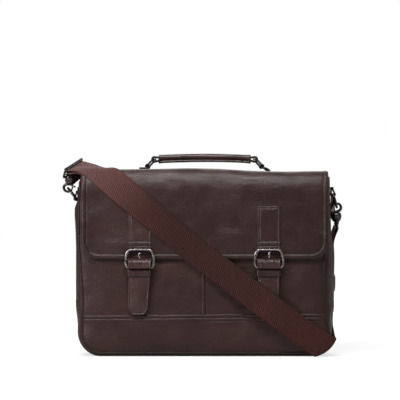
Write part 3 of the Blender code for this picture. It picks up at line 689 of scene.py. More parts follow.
def face_depth(x, z, seed=1):
    """Distance of a big face's leather from the middle plane."""
    d = np.clip(edge_distance(x, z), 0, None)
    roll = 1 - np.sqrt(1 - (1 - np.clip(d / 0.021, 0, 1)) ** 2)
    at = stack(x, 0.0, z)
    sag = 0.0009 * noise(at, 0.08, seed) + 0.0004 * noise(at, 0.03, seed + 1)
    swell = 0.0016 * (1 - (x / HALF) ** 2) * np.sin(pi * np.clip(z / 0.15, 0, 1)) ** 0.7
    loose = step(0.0, 0.03, d) * (1 - 0.8 * step(0.13, 0.16, z))
    return DEPTH + 0.0004 - 0.0056 * roll + (sag + swell) * loose


def face_at(x, z, side, lift=0.0, seed=1, ridge=None):
    """Points on the front or back leather."""
    x, z = np.broadcast_arrays(np.asarray(x, float), np.asarray(z, float))
    y = face_depth(x, z, seed) + lift
    if ridge is not None:
        y = y + ridge(x, z)
    return stack(case_x(x, z, 1.0 if side < 0 else BACK_SHARE), side * y, z)


def face_grid(xs, low, high, rows, side, lift=0.0, seed=1, ridge=None):
    """A grid over the front or back: columns across, rows upwards."""
    lows, highs = (np.broadcast_to(z, len(xs))[:, None] for z in (low, high))
    z = lows + (highs - lows) * np.linspace(0, 1, rows)
    return face_at(xs[:, None], z, side, lift, seed, ridge)


def band_top(x):
    return BAND_TOP + 0.0013 * x / HALF + 0.0004 * noise(stack(x, 0.0, 0.1), 0.05, 3)


def band_ridge(x, z):
    """The puffed rows of a doubly sewn folded edge."""
    d = band_top(x) - z
    rolls = bell(d, 0.0016, 0.0012) * 0.0009 + bell(d, 0.0072, 0.0026) * 0.0006
    right = 0.35 + 0.65 * step(-0.06, 0.03, x)
    dips = bell(d, BAND_ROWS[0], 0.0008) * 1.4 + right * bell(d, BAND_ROWS[1], 0.0007)
    return rolls - 0.0006 * dips


def seam_ridge(x, z):
    """The lapped seam down the middle of the front."""
    d = x - SEAM_X
    lap = 0.0009 * bell(d, 0.0016, 0.0016) - 0.0004 * bell(d, 0.0042, 0.0007)
    return np.where(d > 0, lap, -0.0003 * bell(d, 0.0, 0.004))


def make_faces():
    reach = HALF - 0.0004
    for name, xs in (("left", columns(-reach, SEAM_X - 0.0002, 70)),
                     ("right", columns(SEAM_X + 0.0001, reach, 76))):
        grid = face_grid(xs, PANEL_LOW, PANEL_TOP, 90, -1, ridge=seam_ridge)
        panel = slab("front_panel_%s_skin" % name, grid, PANEL_THICK, PANEL, flip=True)
        finish(panel, "bag", "panel_leather", "front_panel_" + name)
    line = face_at(SEAM_X + 0.0042, np.linspace(0.067, 0.255, 60), -1, ridge=seam_ridge)
    seams = [(line, FRONT_WAY)]

    xs = columns(-reach, reach, 150)
    inner = np.linspace(-HALF + 0.004, HALF - 0.004, 240)
    for name, side, seed in (("front", -1, 1), ("back", 1, 4)):
        grid = face_grid(xs, low_edge(xs), band_top(xs), 64, side, 0.0011, seed, band_ridge)
        band = slab(name + "_base_band_skin", grid, BAND_THICK, PANEL, flip=side < 0)
        finish(band, "bag", "panel_leather", name + "_base_band")
        # the second row shows only from the middle to the right
        for row, x in zip(BAND_ROWS, (inner, inner[inner > -0.03])):
            line = face_at(x, band_top(x) - row, side, 0.0009, seed, band_ridge)
            seams.append((line, (0, side, 0)))
    grid = face_grid(xs, PANEL_LOW, BACK_TOP - 0.006, 90, 1, 0.0, 4)
    finish(slab("back_panel_skin", grid, PANEL_THICK, PANEL), "bag", "panel_leather", "back_panel")

    x = np.linspace(-reach + 0.004, reach - 0.004, 120)
    hem = [(face_at(x, PANEL_TOP - 0.006, -1, 0.0001), FRONT_WAY)]
    sew("front_top_stitches", hem, "bag", "panel_leather")
    sew("case_stitches", seams, "bag", "panel_leather")
    path = face_at(np.linspace(-reach, reach, 90), PANEL_TOP + 0.0002, -1, -0.0011)
    roll = tube("front_top_edge", path, circle(0.0017, 0.0014, 10), EDGE)
    finish(roll, "bag", "panel_leather")


def case_rim(offset, top):
    """The U-shaped edge of the case with its way out: points, outward pairs."""
    half, radius = HALF + offset, CORNER + offset
    base = LOW - offset
    spots = [(-half, z, -1.0, 0.0) for z in np.linspace(top, base + radius + 0.002, 46)]
    for c, s in turn(180, 270, 22):
        spots.append((-half + radius + radius * c, base + radius + radius * s, c, s))
    spots += [(x, base, 0.0, -1.0) for x in np.linspace(-half + radius + 0.008, -0.004, 18)]
    spots += [(-x, z, -nx, nz) for x, z, nx, nz in spots[::-1]]
    return np.array(spots)


LEFT_REACH = ((0.0, 0.19), (0.019, 0.193), (0.031, 0.196), (0.043, 0.1978), (0.055, 0.1986),
              (0.08, 0.199), (0.165, 0.1989), (0.19, 0.2), (0.215, 0.2012), (0.226, 0.2008),
              (0.234, 0.1978), (0.241, 0.1952), (0.262, 0.1935), (0.29, 0.192))
RIGHT_REACH = ((0.0, 0.19), (0.019, 0.193), (0.043, 0.1972), (0.067, 0.2), (0.08, 0.2),
               (0.15, 0.2002), (0.165, 0.1995), (0.177, 0.1978), (0.19, 0.1962),
               (0.235, 0.1946), (0.262, 0.1935), (0.29, 0.192))


def side_reach(z, side):
    """Half width of the case at the gussets' fullest, by height."""
    left, right = (np.interp(z, *np.transpose(table)) for table in (LEFT_REACH, RIGHT_REACH))
    return np.where(side < 0, left, right)


GUSSET_COLUMNS = 33
GUSSET_MID = 16


def gusset_skin(spots, inset=0.0):
    """Grid over a gusset: places along the rim, then front to back."""
    x, z, nx, nz = spots.T
    u = np.linspace(-1, 1, GUSSET_COLUMNS)[None, :]
    down = np.clip(-nz, 0, 1)[:, None]
    front = case_x(x, z)[:, None]
    back = case_x(x, z, BACK_SHARE)[:, None]
    edge = front + (back - front) * (u + 1) / 2
    swell = np.maximum(side_reach(z, x)[:, None] - np.abs(edge), 0.004)
    corner = 0.0105 * (1 - down) + 0.0072 * down
    low = step(0.075, 0.035, z)[:, None]
    bulge = swell * (1 - low) + np.minimum(swell, corner) * low
    bulge = np.where(down > 0.999, 0.0072, bulge)
    round_share = np.sqrt(np.clip(1 - np.abs(u) ** 2.3, 0, 1))
    flat_share = np.clip((1 - np.abs(u)) / 0.14, 0, 1) ** 0.6
    profile = round_share * (1 - down) + flat_share * down
    at = stack(np.sign(x)[:, None] * 0.05, u * 0.044, z[:, None])
    folds = 0.5 + 0.5 * noise(at * np.array([1, 1, 0.55]), 0.026, 2)
    crease = bell(u, 0.05, 0.16) * step(0.03, 0.08, z)[:, None]
    dent = (0.0014 * folds + 0.0022 * crease) * (1 - down) * np.clip(1 - np.abs(u), 0, 1) ** 0.5
    push = np.maximum(bulge * profile - dent, 0.0) - inset
    px = edge + nx[:, None] * push
    return stack(px, 0.0437 * u, np.maximum(z[:, None] + nz[:, None] * push, 0.0))


def make_sides():
    spots = case_rim(0.0006, GUSSET_TOP - 0.004)
    above = spots[:, 1] > GUSSET_SEAM
    for side_name, side in SIDES:
        name = "gusset_" + side_name
        part = spots[above & (spots[:, 0] * side > 0)]
        grid = gusset_skin(part)
        skin = slab(name + "_skin", grid, GUSSET_THICK, PANEL, flip=True)
        finish(skin, "bag", "panel_leather", name)
        rim = grid[np.argmax(part[:, 1])] + np.array([-0.0016 * side, 0, 0.0004])
        roll = tube(name + "_top_edge", rim[2:-2], circle(0.0012, 0.0011, 10), EDGE,
                    side=(1, 0, 0))
        finish(roll, "bag", "panel_leather")
    grid = gusset_skin(spots[spots[:, 1] < GUSSET_SEAM + 0.004], inset=-0.0004)
    base = slab("base_gusset_skin", grid, 0.0018, PANEL, flip=True)
    finish(base, "bag", "panel_leather", "base_gusset")
    seams = [(grid[row][2:-2], (np.sign(grid[row][GUSSET_MID][0]), 0, 0)) for row in (2, -3)]
    sew("gusset_seam_stitches", seams, "bag", "panel_leather")

    rim = case_rim(0.0016, PANEL_TOP + 0.004)
    z = np.maximum(rim[:, 1], 0.0019)
    for name, side, share in (("piping_front", -1, 1.0), ("piping_back", 1, BACK_SHARE)):
        path = stack(case_x(rim[:, 0], z, share), side * 0.0446, z)
        # The cords take the DARK look: painted shade along the seams.
        cord = tube(name + "_cord", path, circle(0.0017, sides=10), DARK)
        finish(cord, "bag", "trim_leather", name)


# ---------------------------------------------------------------- flap
TOPS = smooth_path(((-0.19, 0.283), (-0.125, 0.2838), (-0.095, 0.2838), (-0.06, 0.2843),
                    (-0.022, 0.2848), (0.009, 0.2845), (0.024, 0.284), (0.039, 0.2827),
                    (0.054, 0.2814), (0.07, 0.2803), (0.095, 0.2795), (0.125, 0.279),
                    (0.15, 0.2797), (0.19, 0.2803)), 140)
BEND_ANGLES = np.linspace(0, pi / 2, 60)
BEND_RUNS = distances(np.stack([FLAP_BEND * np.cos(BEND_ANGLES),
                                FLAP_RISE * np.sin(BEND_ANGLES)], -1))
BEND_RUN = float(BEND_RUNS[-1])
FLAT_RUN = BACK_Y - BACK_BEND + FLAP_FRONT - FLAP_BEND      # the flap's top, front to back
BACK_ARC = BACK_BEND * pi / 2
HEM_INSET = 0.0054                # from the flap's edge to its stitches


def flap_top(x):
    return np.interp(x, TOPS[:, 0], TOPS[:, 1])


def hem_relief(edge):
    """The turned and sewn border of the flap: a plump bead, then the stitch groove."""
    return 0.0011 * bell(edge, 0.0036, 0.002) - 0.0008 * bell(edge, 0.0073, 0.0008)


def flap_at(x, run, lift=0.0, rough=1.0):
    """A point on the flap: run is the height in front, carried on over the top and down behind."""
    x, run = np.broadcast_arrays(np.asarray(x, float), np.asarray(run, float))
    top = flap_top(x)
    edge = np.clip(edge_distance(x, run, FLAP_HALF, FLAP_CORNER, FLAP_LOW), 0, None)
    roll = 1 - np.sqrt(1 - (1 - np.clip(edge / 0.0055, 0, 1)) ** 2)
    at = stack(x, 0.0, run)
    on_bend = bell(run, top - 0.006, 0.016)
    crinkle = 0.00016 * noise(at * np.array([0.35, 1, 1.0]), 0.0045, 2) * on_bend
    wave = 0.0007 * noise(at, 0.07, 5) + 0.00035 * noise(at, 0.024, 3)
    wave = wave + 0.0006 * on_bend * noise(at, 0.045, 1) + crinkle
    lift = lift + rough * (wave * step(0.0, 0.02, edge) + hem_relief(edge) - 0.0024 * roll)
    start = top - FLAP_RISE
    angle = np.interp(run - start, BEND_RUNS, BEND_ANGLES)
    flat = np.clip(run - start - BEND_RUN, 0, FLAT_RUN)
    y = -(FLAP_FRONT - FLAP_BEND) - (FLAP_BEND + lift) * np.cos(angle) + flat
    z = np.minimum(run, start) + (FLAP_RISE + lift) * np.sin(angle)
    behind = run - start - BEND_RUN - FLAT_RUN
    angle = np.clip(behind / BACK_BEND, 0, pi / 2)
    down = np.clip(behind - BACK_ARC, 0, None)
    back_y = BACK_Y - BACK_BEND + (BACK_BEND + lift) * np.sin(angle)
    back_z = top - BACK_BEND + (BACK_BEND + lift) * np.cos(angle) - down
    return stack(x, np.where(behind > 0, back_y, y), np.where(behind > 0, back_z, z))


def run_at_depth(x, y):
    """The run of a point on the flap's top at a depth."""
    return flap_top(x) - FLAP_RISE + BEND_RUN + y + FLAP_FRONT - FLAP_BEND


def flap_runs(x, inset, down):
    """Runs up one column: even on the front, close over the bends, and so far down behind."""
    low = float(low_edge(x, FLAP_HALF - inset, FLAP_CORNER - inset, FLAP_LOW + inset))
    bend = flap_top(x) - FLAP_RISE
    flat_end = run_at_depth(x, BACK_Y - BACK_BEND)
    stops = [(low, 16), (low + 0.01, 56), (bend, 34), (bend + BEND_RUN, 40), (flat_end, 12)]
    pieces = [np.linspace(a, b, count)[:-1] for (a, count), (b, _) in zip(stops, stops[1:])]
    if down > 0:
        back = flat_end + BACK_ARC
        pieces += [np.linspace(flat_end, back, 12)[:-1], np.linspace(back, back + down, 20)]
    else:
        pieces += [np.array([flat_end - 0.003])]
    return np.concatenate(pieces)


def over_hinge(piece):
    """A piece whose placing is baked into its mesh."""
    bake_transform(piece)


def flap_outline():
    """The flap's edge in x and run, from the hinge round the front and back to the hinge."""
    inset = 0.0019
    across, corner, low = FLAP_HALF - inset, FLAP_CORNER - inset, FLAP_LOW + inset
    top_run = float(run_at_depth(-across, BACK_Y - BACK_BEND - 0.002))
    outline = [(-across, r) for r in np.linspace(top_run, low + corner, 150)]
    for c, s in turn(180, 270, 24)[1:]:
        outline.append((-across + corner + corner * c, low + corner + corner * s))
    outline += [(x, low) for x in np.linspace(-across + corner, 0, 60)[1:]]
    shift = float(run_at_depth(across, 0.0)) - float(run_at_depth(-across, 0.0))
    right = [(-x, r + shift * step(0.26, 0.3, r)) for x, r in outline[::-1][1:]]
    return np.array(outline + right)


def make_flap():
    reach = FLAP_HALF - 0.0016
    grid = [flap_at(x, flap_runs(x, 0.0016, 0.04)) for x in columns(-reach, reach, 170)]
    skin = slab("flap_skin", grid, FLAP_THICK, FLAP, flip=True)
    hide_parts("flap_leather", "flap_back_band")
    over_hinge(skin)

    outline = flap_outline()
    path = flap_at(*outline.T, -0.0012)
    # The binding's lighter EDGE look is a painted highlight on the flap's rolled edge.
    roll = tube("flap_binding", path, circle(0.0022, 0.0018, 14), EDGE, side=(1, 0, 0))
    over_hinge(roll)

    tangent = unit(np.gradient(outline, axis=0))
    way = np.stack([-tangent[:, 1], tangent[:, 0]], -1)
    way = way * np.sign((((0.0, 0.3) - outline) * way).sum(-1, keepdims=True))
    inner = outline + way * HEM_INSET
    line = flap_at(*inner.T)
    out = unit(flap_at(*inner.T, 0.002) - line)
    over_hinge(stitches("flap_stitches", [(line, out)], THREAD))

    half = FLAP_HALF - 0.005
    rows = [flap_at(x, flap_runs(x, 0.005, 0.0)[::2], -0.0031, 0.6)
            for x in columns(-half, half, 60)]
    under = slab("flap_lining_skin", rows, 0.0007, CLOTH, flip=True)
    finish(under, "flap", "lining_textile", "flap_lining")

    half = FLAP_HALF - 0.0039
    x = np.linspace(-half, half, 200)
    back = run_at_depth(x, BACK_Y - BACK_BEND) + BACK_ARC
    seams = [(flap_at(x, back + down), BACK_WAY) for down in (0.0045, 0.036)]
    sew("back_band_stitches", seams, "bag", "trim_leather")


# ---------------------------------------------------------------- closures
def strap_x(side, z):
    """Middle of a closure strap, which leans a little."""
    lean = 0.0008 * step(0.15, 0.128, z) + 0.002 * step(0.125, 0.07, z)
    if side > 0:
        return STRAP_X - 0.2 * lean
    return -STRAP_X - lean - 0.001


def patch_relief(d, z):
    """Stitch grooves of a sewn-down strap: along its edge, and twice across."""
    groove = bell(d, 0.0026, 0.0007) + sum(bell(z, row, 0.0008) for row in STRAP_ROWS)
    pillow = bell(z, 0.172, 0.0018) + 0.5 * bell(d, 0.001, 0.0008)
    return 0.0005 * pillow - 0.0009 * np.clip(groove, 0, 1)


def patch_grid(side, inset=0.0):
    """The strap sewn on the flap, from its top to where it leaves the flap for the buckle."""
    half = STRAP_HALF - inset
    t = np.linspace(-1, 1, 57)
    grid = []
    for z in np.linspace(STRAP_TOP - inset, 0.13, 170):
        x = strap_x(side, z) + half * t
        d = np.minimum((1 - np.abs(t)) * half, STRAP_TOP - inset - z) + inset
        on_flap = flap_at(x, max(z, 0.162), 0.0033, 0.0) - stack(0.0, patch_relief(d, z), 0.0)
        free = stack(x, -(FLAP_FRONT + 0.0024), z)
        share = step(0.166, 0.152, z)
        point = on_flap * (1 - share) + free * share
        point[:, 2] = z
        grid.append(point)
    return np.array(grid)


def tail_depth(z):
    """Distance of the tail's front face from the middle plane."""
    share = (0.129 - z) / 0.065
    return 0.059 - 0.0015 * share + 0.0012 * np.sin(pi * np.clip(share, 0, 1))


def tail_grid(side, inset=0.0):
    """The strap's loose end under the buckle, down to its rounded tip."""
    tip, shoulder = 0.064, 0.0745
    drop = shoulder - tip - inset
    zs = np.concatenate([np.linspace(0.1288, shoulder, 120)[:-1],
                         shoulder - drop * np.sin(np.linspace(0, pi / 2, 30))])
    t = np.linspace(-1, 1, 49)
    grid = []
    for z in zs:
        fall = np.clip((shoulder - z) / (shoulder - tip), 0, 1)
        half = STRAP_HALF - inset - 0.0006 - 0.007 * fall**1.5 - 0.0008 * step(0.12, 0.08, z)
        x = strap_x(side, z) + half * t
        d = np.minimum((1 - np.abs(t)) * half, (z - tip - inset) * 0.9) + inset
        relief = 0.0004 * bell(d, 0.0011, 0.0009) - 0.0005 * bell(d, 0.0027, 0.0007)
        puff = 0.0009 * (1 - t**2) + relief - 0.0004 * noise(stack(x, 0.0, z), 0.022, 2)
        grid.append(stack(x, -tail_depth(z) - puff, z))
    return np.array(grid)


FOLD = smooth_path(
    [(-0.0585, 0.1502), (-0.0606, 0.1498), (-0.063, 0.1487), (-0.065, 0.1466),
     (-0.0661, 0.144), (-0.0662, 0.1412), (-0.0661, 0.139), (-0.0661, 0.1368),
     (-0.0657, 0.1352), (-0.0644, 0.1343), (-0.0622, 0.1341), (-0.0596, 0.1345)], 70)
BUCKLE = [(0.0, 0.0152), (0.0085, 0.0151), (0.015, 0.0147), (0.0185, 0.0118), (0.0206, 0.007),
          (0.0213, 0.001), (0.0212, -0.004), (0.0203, -0.0085), (0.0186, -0.0113),
          (0.0145, -0.0121), (0.0085, -0.0121)]
PRONGS = {
    -1: [(0.0, -0.0655, 0.1508), (-0.0006, -0.0663, 0.1523), (-0.0014, -0.0666, 0.1545),
         (-0.0013, -0.0662, 0.1566), (-0.0002, -0.0655, 0.1579), (0.0012, -0.0648, 0.1574)],
    1: [(0.0, -0.0655, 0.1508), (0.0, -0.0663, 0.1523), (0.0002, -0.0667, 0.1545),
        (0.0003, -0.0663, 0.1566), (0.0003, -0.0655, 0.1583), (0.0003, -0.0645, 0.159)],
}
PRONG_SIZES = {-1: (0.85, 0.7), 1: (0.75, 1.15)}


def make_patch(name, side):
    grid = patch_grid(side)
    patch = slab("closure_strap_%s_skin" % name, grid, PATCH_THICK, TRIM)
    finish(patch, "flap", "trim_leather", "closure_strap_" + name)
    inner = patch_grid(side, 0.0026)
    lines = [inner[:-34, 0], inner[:-34, -1], inner[0]]
    lines += [grid[np.argmin(np.abs(grid[:, 0, 2] - z))][5:-5] for z in STRAP_ROWS]
    seams = [(line, FRONT_WAY) for line in lines]
    sew("closure_stitches_" + name, seams, "flap", "trim_leather")


def make_fold(name, side):
    """The strap's leather turned round the lower bar, and the slot above it, a dark sheet that is
    painted shade.
    """
    t = np.linspace(-1, 1, 49)
    half = STRAP_HALF + 0.0002
    grid = []
    for y, z in FOLD:
        x = strap_x(side, z) + half * t
        at = stack(x, 0.0, z)
        pucker = 0.0009 * noise(at * np.array([1, 1, 0.25]), 0.003, 4) * bell(z, 0.1455, 0.0045)
        pucker = pucker + 0.0003 * noise(at, 0.006, 2)
        sunk = 0.0005 * bell((1 - np.abs(t)) * half, 0.0026, 0.0008)
        grid.append(stack(x, y + pucker + sunk, z + 0.0004 * noise(at, 0.01, 1)))
    finish(slab("closure_fold_" + name, grid, 0.0017, TAIL), "flap", "trim_leather")
    # Painted shade: a dark sheet in the buckle's window stands for the shade there.
    top = 0.1622
    grid = []
    for z in np.linspace(top, 0.1485, 30):
        hollow = 0.0006 * (1 - t**2) * step(top, 0.159, z)
        grid.append(stack(strap_x(side, z) + (STRAP_HALF - 0.0006) * t, -(0.0578 - hollow), z))
    finish(slab("closure_slot_" + name, grid, 0.0006, SHADE), "flap", "trim_leather")


def make_buckle(name, side):
    points = BUCKLE + [(0.0, -0.0121)] + [(-x, z) for x, z in BUCKLE[:0:-1]]
    x0 = strap_x(side, BUCKLE_Z)
    # the frame bows forwards in the middle, and its wire is thicker at the sides
    loop = [(x0 + x, BUCKLE_Y - 0.0009 - 0.0008 * cos(x / 0.014), BUCKLE_Z + z) for x, z in points]
    loop = smooth_path(loop, 132, closed=True)
    sizes = 0.72 + 0.4 * step(0.013, 0.019, np.abs(loop[:, 0] - x0))
    sizes = sizes - 0.16 * step(BUCKLE_Z - 0.008, BUCKLE_Z - 0.011, loop[:, 2])
    ring = tube("buckle_%s_frame" % name, loop, circle(0.0016, 0.0018, 14, 0.8), METAL,
                closed=True, scales=sizes)
    finish(ring, "flap", "gunmetal", "buckle_frame_" + name)
    # Painted shade: the centre bar takes the darker hook metal, so that its ends read as shade
    # inside the buckle.
    ends = [(x0 + x, BUCKLE_Y + 0.0002, BUCKLE_Z) for x in (-0.0205, 0.0205)]
    bar = tube("buckle_bar_" + name, even_path(ends, 0.004), circle(0.0009), HOOKS)
    finish(bar, "flap", "gunmetal")
    line = smooth_path(PRONGS[side], 24) + (x0, 0, 0)
    pin = tube("prong_%s_pin" % name, line, circle(0.00125), BRIGHT, side=(1, 0, 0),
               scales=np.linspace(*PRONG_SIZES[side], 24))
    finish(pin, "prong_" + name, "gunmetal", "prong_" + name)


def make_tail(name, side):
    tail = slab("tail_%s_skin" % name, tail_grid(side), TAIL_THICK, TAIL)
    finish(tail, "tail_" + name, "trim_leather", "tail_" + name)
    inner = tail_grid(side, 0.0027)[26:]
    seam = np.concatenate([inner[:, 0], inner[-1, 1:-1], inner[::-1, -1]])
    sew("tail_stitches_" + name, [(seam, FRONT_WAY)], "tail_" + name, "trim_leather", DARK_THREAD)

    high = 0.1274
    middle = np.array([strap_x(side, high), 0.0013 - float(tail_depth(high)), high])
    pairs = rounded_loop(STRAP_HALF + 0.0011 - 0.0018, 0.0037 - 0.0012, (0.0018, 0.0012), 7)
    ring = loop_path(middle, (1, 0, 0), (0, 1, 0), pairs, LOOP_PITCH)
    keeper = tube("keeper_%s_loop" % name, ring, circle(0.0047, 0.0008, 16, 0.35), TRIM,
                  closed=True, side=(0, 0, 1))
    finish(keeper, "keeper_" + name, "trim_leather", "keeper_" + name)
    for node in ("magnet_", "magnet_plate_"):
        dress_hidden(node + name, METAL)


# ---------------------------------------------------------------- handle
def grip_height(x):
    return 0.3037 + 0.0021 * (1 - (x / 0.0715) ** 2)


GRIP_KEEL = [(-0.0021, -0.0044), (-0.0016, -0.005), (-0.002, -0.0056), (-0.0024, -0.0066),
             (-0.0022, -0.0076), (-0.0014, -0.0083), (0.0, -0.0086)]


def make_grip():
    """The roll of the grip with the sewn keel under it."""
    section = [(0.0046 * c, 0.0046 * s) for c, s in turn(-52, 232, 30)]
    section += GRIP_KEEL + [(-y, z) for y, z in GRIP_KEEL[-2::-1]]
    y, z = np.transpose(section)
    rings = []
    for x in np.linspace(-GRIP_HALF, GRIP_HALF, 120):
        swell = 1 + 0.03 * noise([x, 0.0, 0.0], 0.012, 1) + 0.05 * bell(abs(x), 0.069, 0.003)
        rings.append(stack(x, y * swell, grip_height(x) + z * swell))
    caps = []
    for end, out in ((0, -0.0004), (-1, 0.0004)):
        centre = rings[end].mean(0)
        caps.append(centre + (rings[end] - centre) * 0.86 + (out, 0, 0))
    grip = loft("handle_grip_skin", [caps[0], *rings, caps[1]], GRIP, smooth=50)
    finish(grip, "handle", "trim_leather", "handle_grip", "handle_core")
    xs = np.linspace(-0.067, 0.067, 120)
    seams = [(stack(xs, side * 0.00225, grip_height(xs) - 0.0062), (0, side, 0))
             for side in (-1, 1)]
    sew("handle_stitches", seams, "handle", "trim_leather")


def make_handle_side(name, side):
    """A ring between the grip's leather loop and the tab on the flap."""
    twist = radians(17) * side
    low = np.array([side * 0.088, 0, 0.2905])
    high = np.array([side * 0.0781, 0, 0.3011])
    corner = 0.0028
    pairs = rounded_loop(0.0072, np.linalg.norm(high - low) / 2 - corner, (corner, corner), 8)
    path = loop_path((low + high) / 2, (sin(twist), cos(twist), 0.0), unit(high - low), pairs,
                     0.0012)
    ring = tube("handle_ring_%s_wire" % name, path, circle(0.0016, sides=14), RINGS, closed=True,
                side=(1, 0, 0))
    finish(ring, "handle_ring_" + name, "gunmetal", "handle_ring_" + name)

    line = [(0.0774 + 0.0036 * c, 0.3014 + 0.0036 * s) for c, s in turn(-112, 112, 20)]
    line = [(0.069, 0.2998)] + line + [(0.069, 0.304)]
    leather_loop("handle_loop_" + name, side, line, 60, 0.0007, circle(0.0058, 0.0018, 16, 0.5),
                 DARK, "handle")

    seat = float(flap_top(side * 0.098)) + 0.0026
    line = [(0.101, seat), (0.0955, (seat + 0.2868) / 2)]
    line += [(0.088 - 0.0031 * c, 0.2905 + 0.0031 * s) for c, s in turn(215, -60, 22)]
    line += [(0.0945, 0.288), (0.101, seat + 0.0016)]
    leather_loop("handle_tab_" + name, side, line, 90, 0.0008, circle(0.0062, 0.0013, 16, 0.4),
                 DARK, "flap")
    depths = np.linspace(-0.01, 0.01, 20)
    pad = [flap_at(x, run_at_depth(x, depths), 0.0019, 0.0)
           for x in side * np.linspace(0.085, 0.103, 24)]
    patch = slab("handle_pad_" + name, pad, 0.0016, DARK, flip=side < 0)
    finish(patch, "flap", "trim_leather")


# ---------------------------------------------------------------- strap hardware
BARS = {-1: np.array([-0.1985, 0, 0.241]), 1: np.array([0.1985, 0, 0.247])}
AIMS = {-1: np.array([-0.62, 0, 0.785]), 1: np.array([0.28, 0, -0.96])}
EYES = {-1: np.array([-0.2017, -0.0165, 0.293]), 1: np.array([0.2042, 0.009, 0.197])}
EYE_WAYS = {-1: np.array([0.02, 0.03, 0.0145]), 1: np.array([0.0, -1.0, -0.05])}
OUTER_BARS = {-1: 0.0023, 1: 0.0019}
RING_DEPTH = 0.0208               # from a D-ring's bar to its far side
EYE_CORNER = 0.0035
# Edge pairs of the dark sheets behind the hooks, which are painted shade.
HOOK_SHADOWS = {
    -1: [((-0.2085, -0.0265, 0.2785), (-0.1905, 0.002, 0.29)),
         ((-0.2095, -0.013, 0.274), (-0.1912, 0.006, 0.282)),
         ((-0.2092, 0.003, 0.269), (-0.1935, 0.012, 0.273)),
         ((-0.2084, 0.007, 0.264), (-0.2, 0.013, 0.2665)),
         ((-0.2078, 0.0085, 0.261), (-0.2048, 0.0125, 0.2622))],
    1: [((0.196, 0.007, 0.248), (0.1985, 0.019, 0.248)),
        ((0.1958, 0.007, 0.238), (0.2, 0.019, 0.238)),
        ((0.1957, 0.0068, 0.225), (0.202, 0.018, 0.225)),
        ((0.196, 0.0068, 0.212), (0.203, 0.017, 0.212)),
        ((0.199, 0.0075, 0.206), (0.203, 0.0165, 0.206))],
}


def make_dring(name, side):
    bar, aim = BARS[side], AIMS[side]
    path = [bar + (0, w, 0) for w in (0.01, 0.005, 0.0, -0.005, -0.01)]
    path += [bar + (0, 0.013 * c, 0) + aim * (0.0063 + 0.0145 * s) for c, s in turn(180, 0, 22)]
    ring = tube("dring_%s_wire" % name, smooth_path(path, 130, closed=True),
                circle(0.0017, sides=14), HOOKS, closed=True, side=(1, 0, 0))
    finish(ring, "dring_" + name, "gunmetal", "dring_" + name)

    x, z = bar[0] * side, bar[2]
    line = [(0.195, 0.2585), (0.1955, 0.255), (0.1955, z + 0.0065)]
    line += [(x + 0.0031 * c, z + 0.0031 * s) for c, s in turn(165, 400, 22)]
    line += [(0.1983, z + 0.0075), (0.1976, z + 0.012)]
    leather_loop("dring_tab_" + name, side, line, 110, 0.0008, circle(0.0093, 0.0011, 18, 0.4),
                 TRIM, "bag")


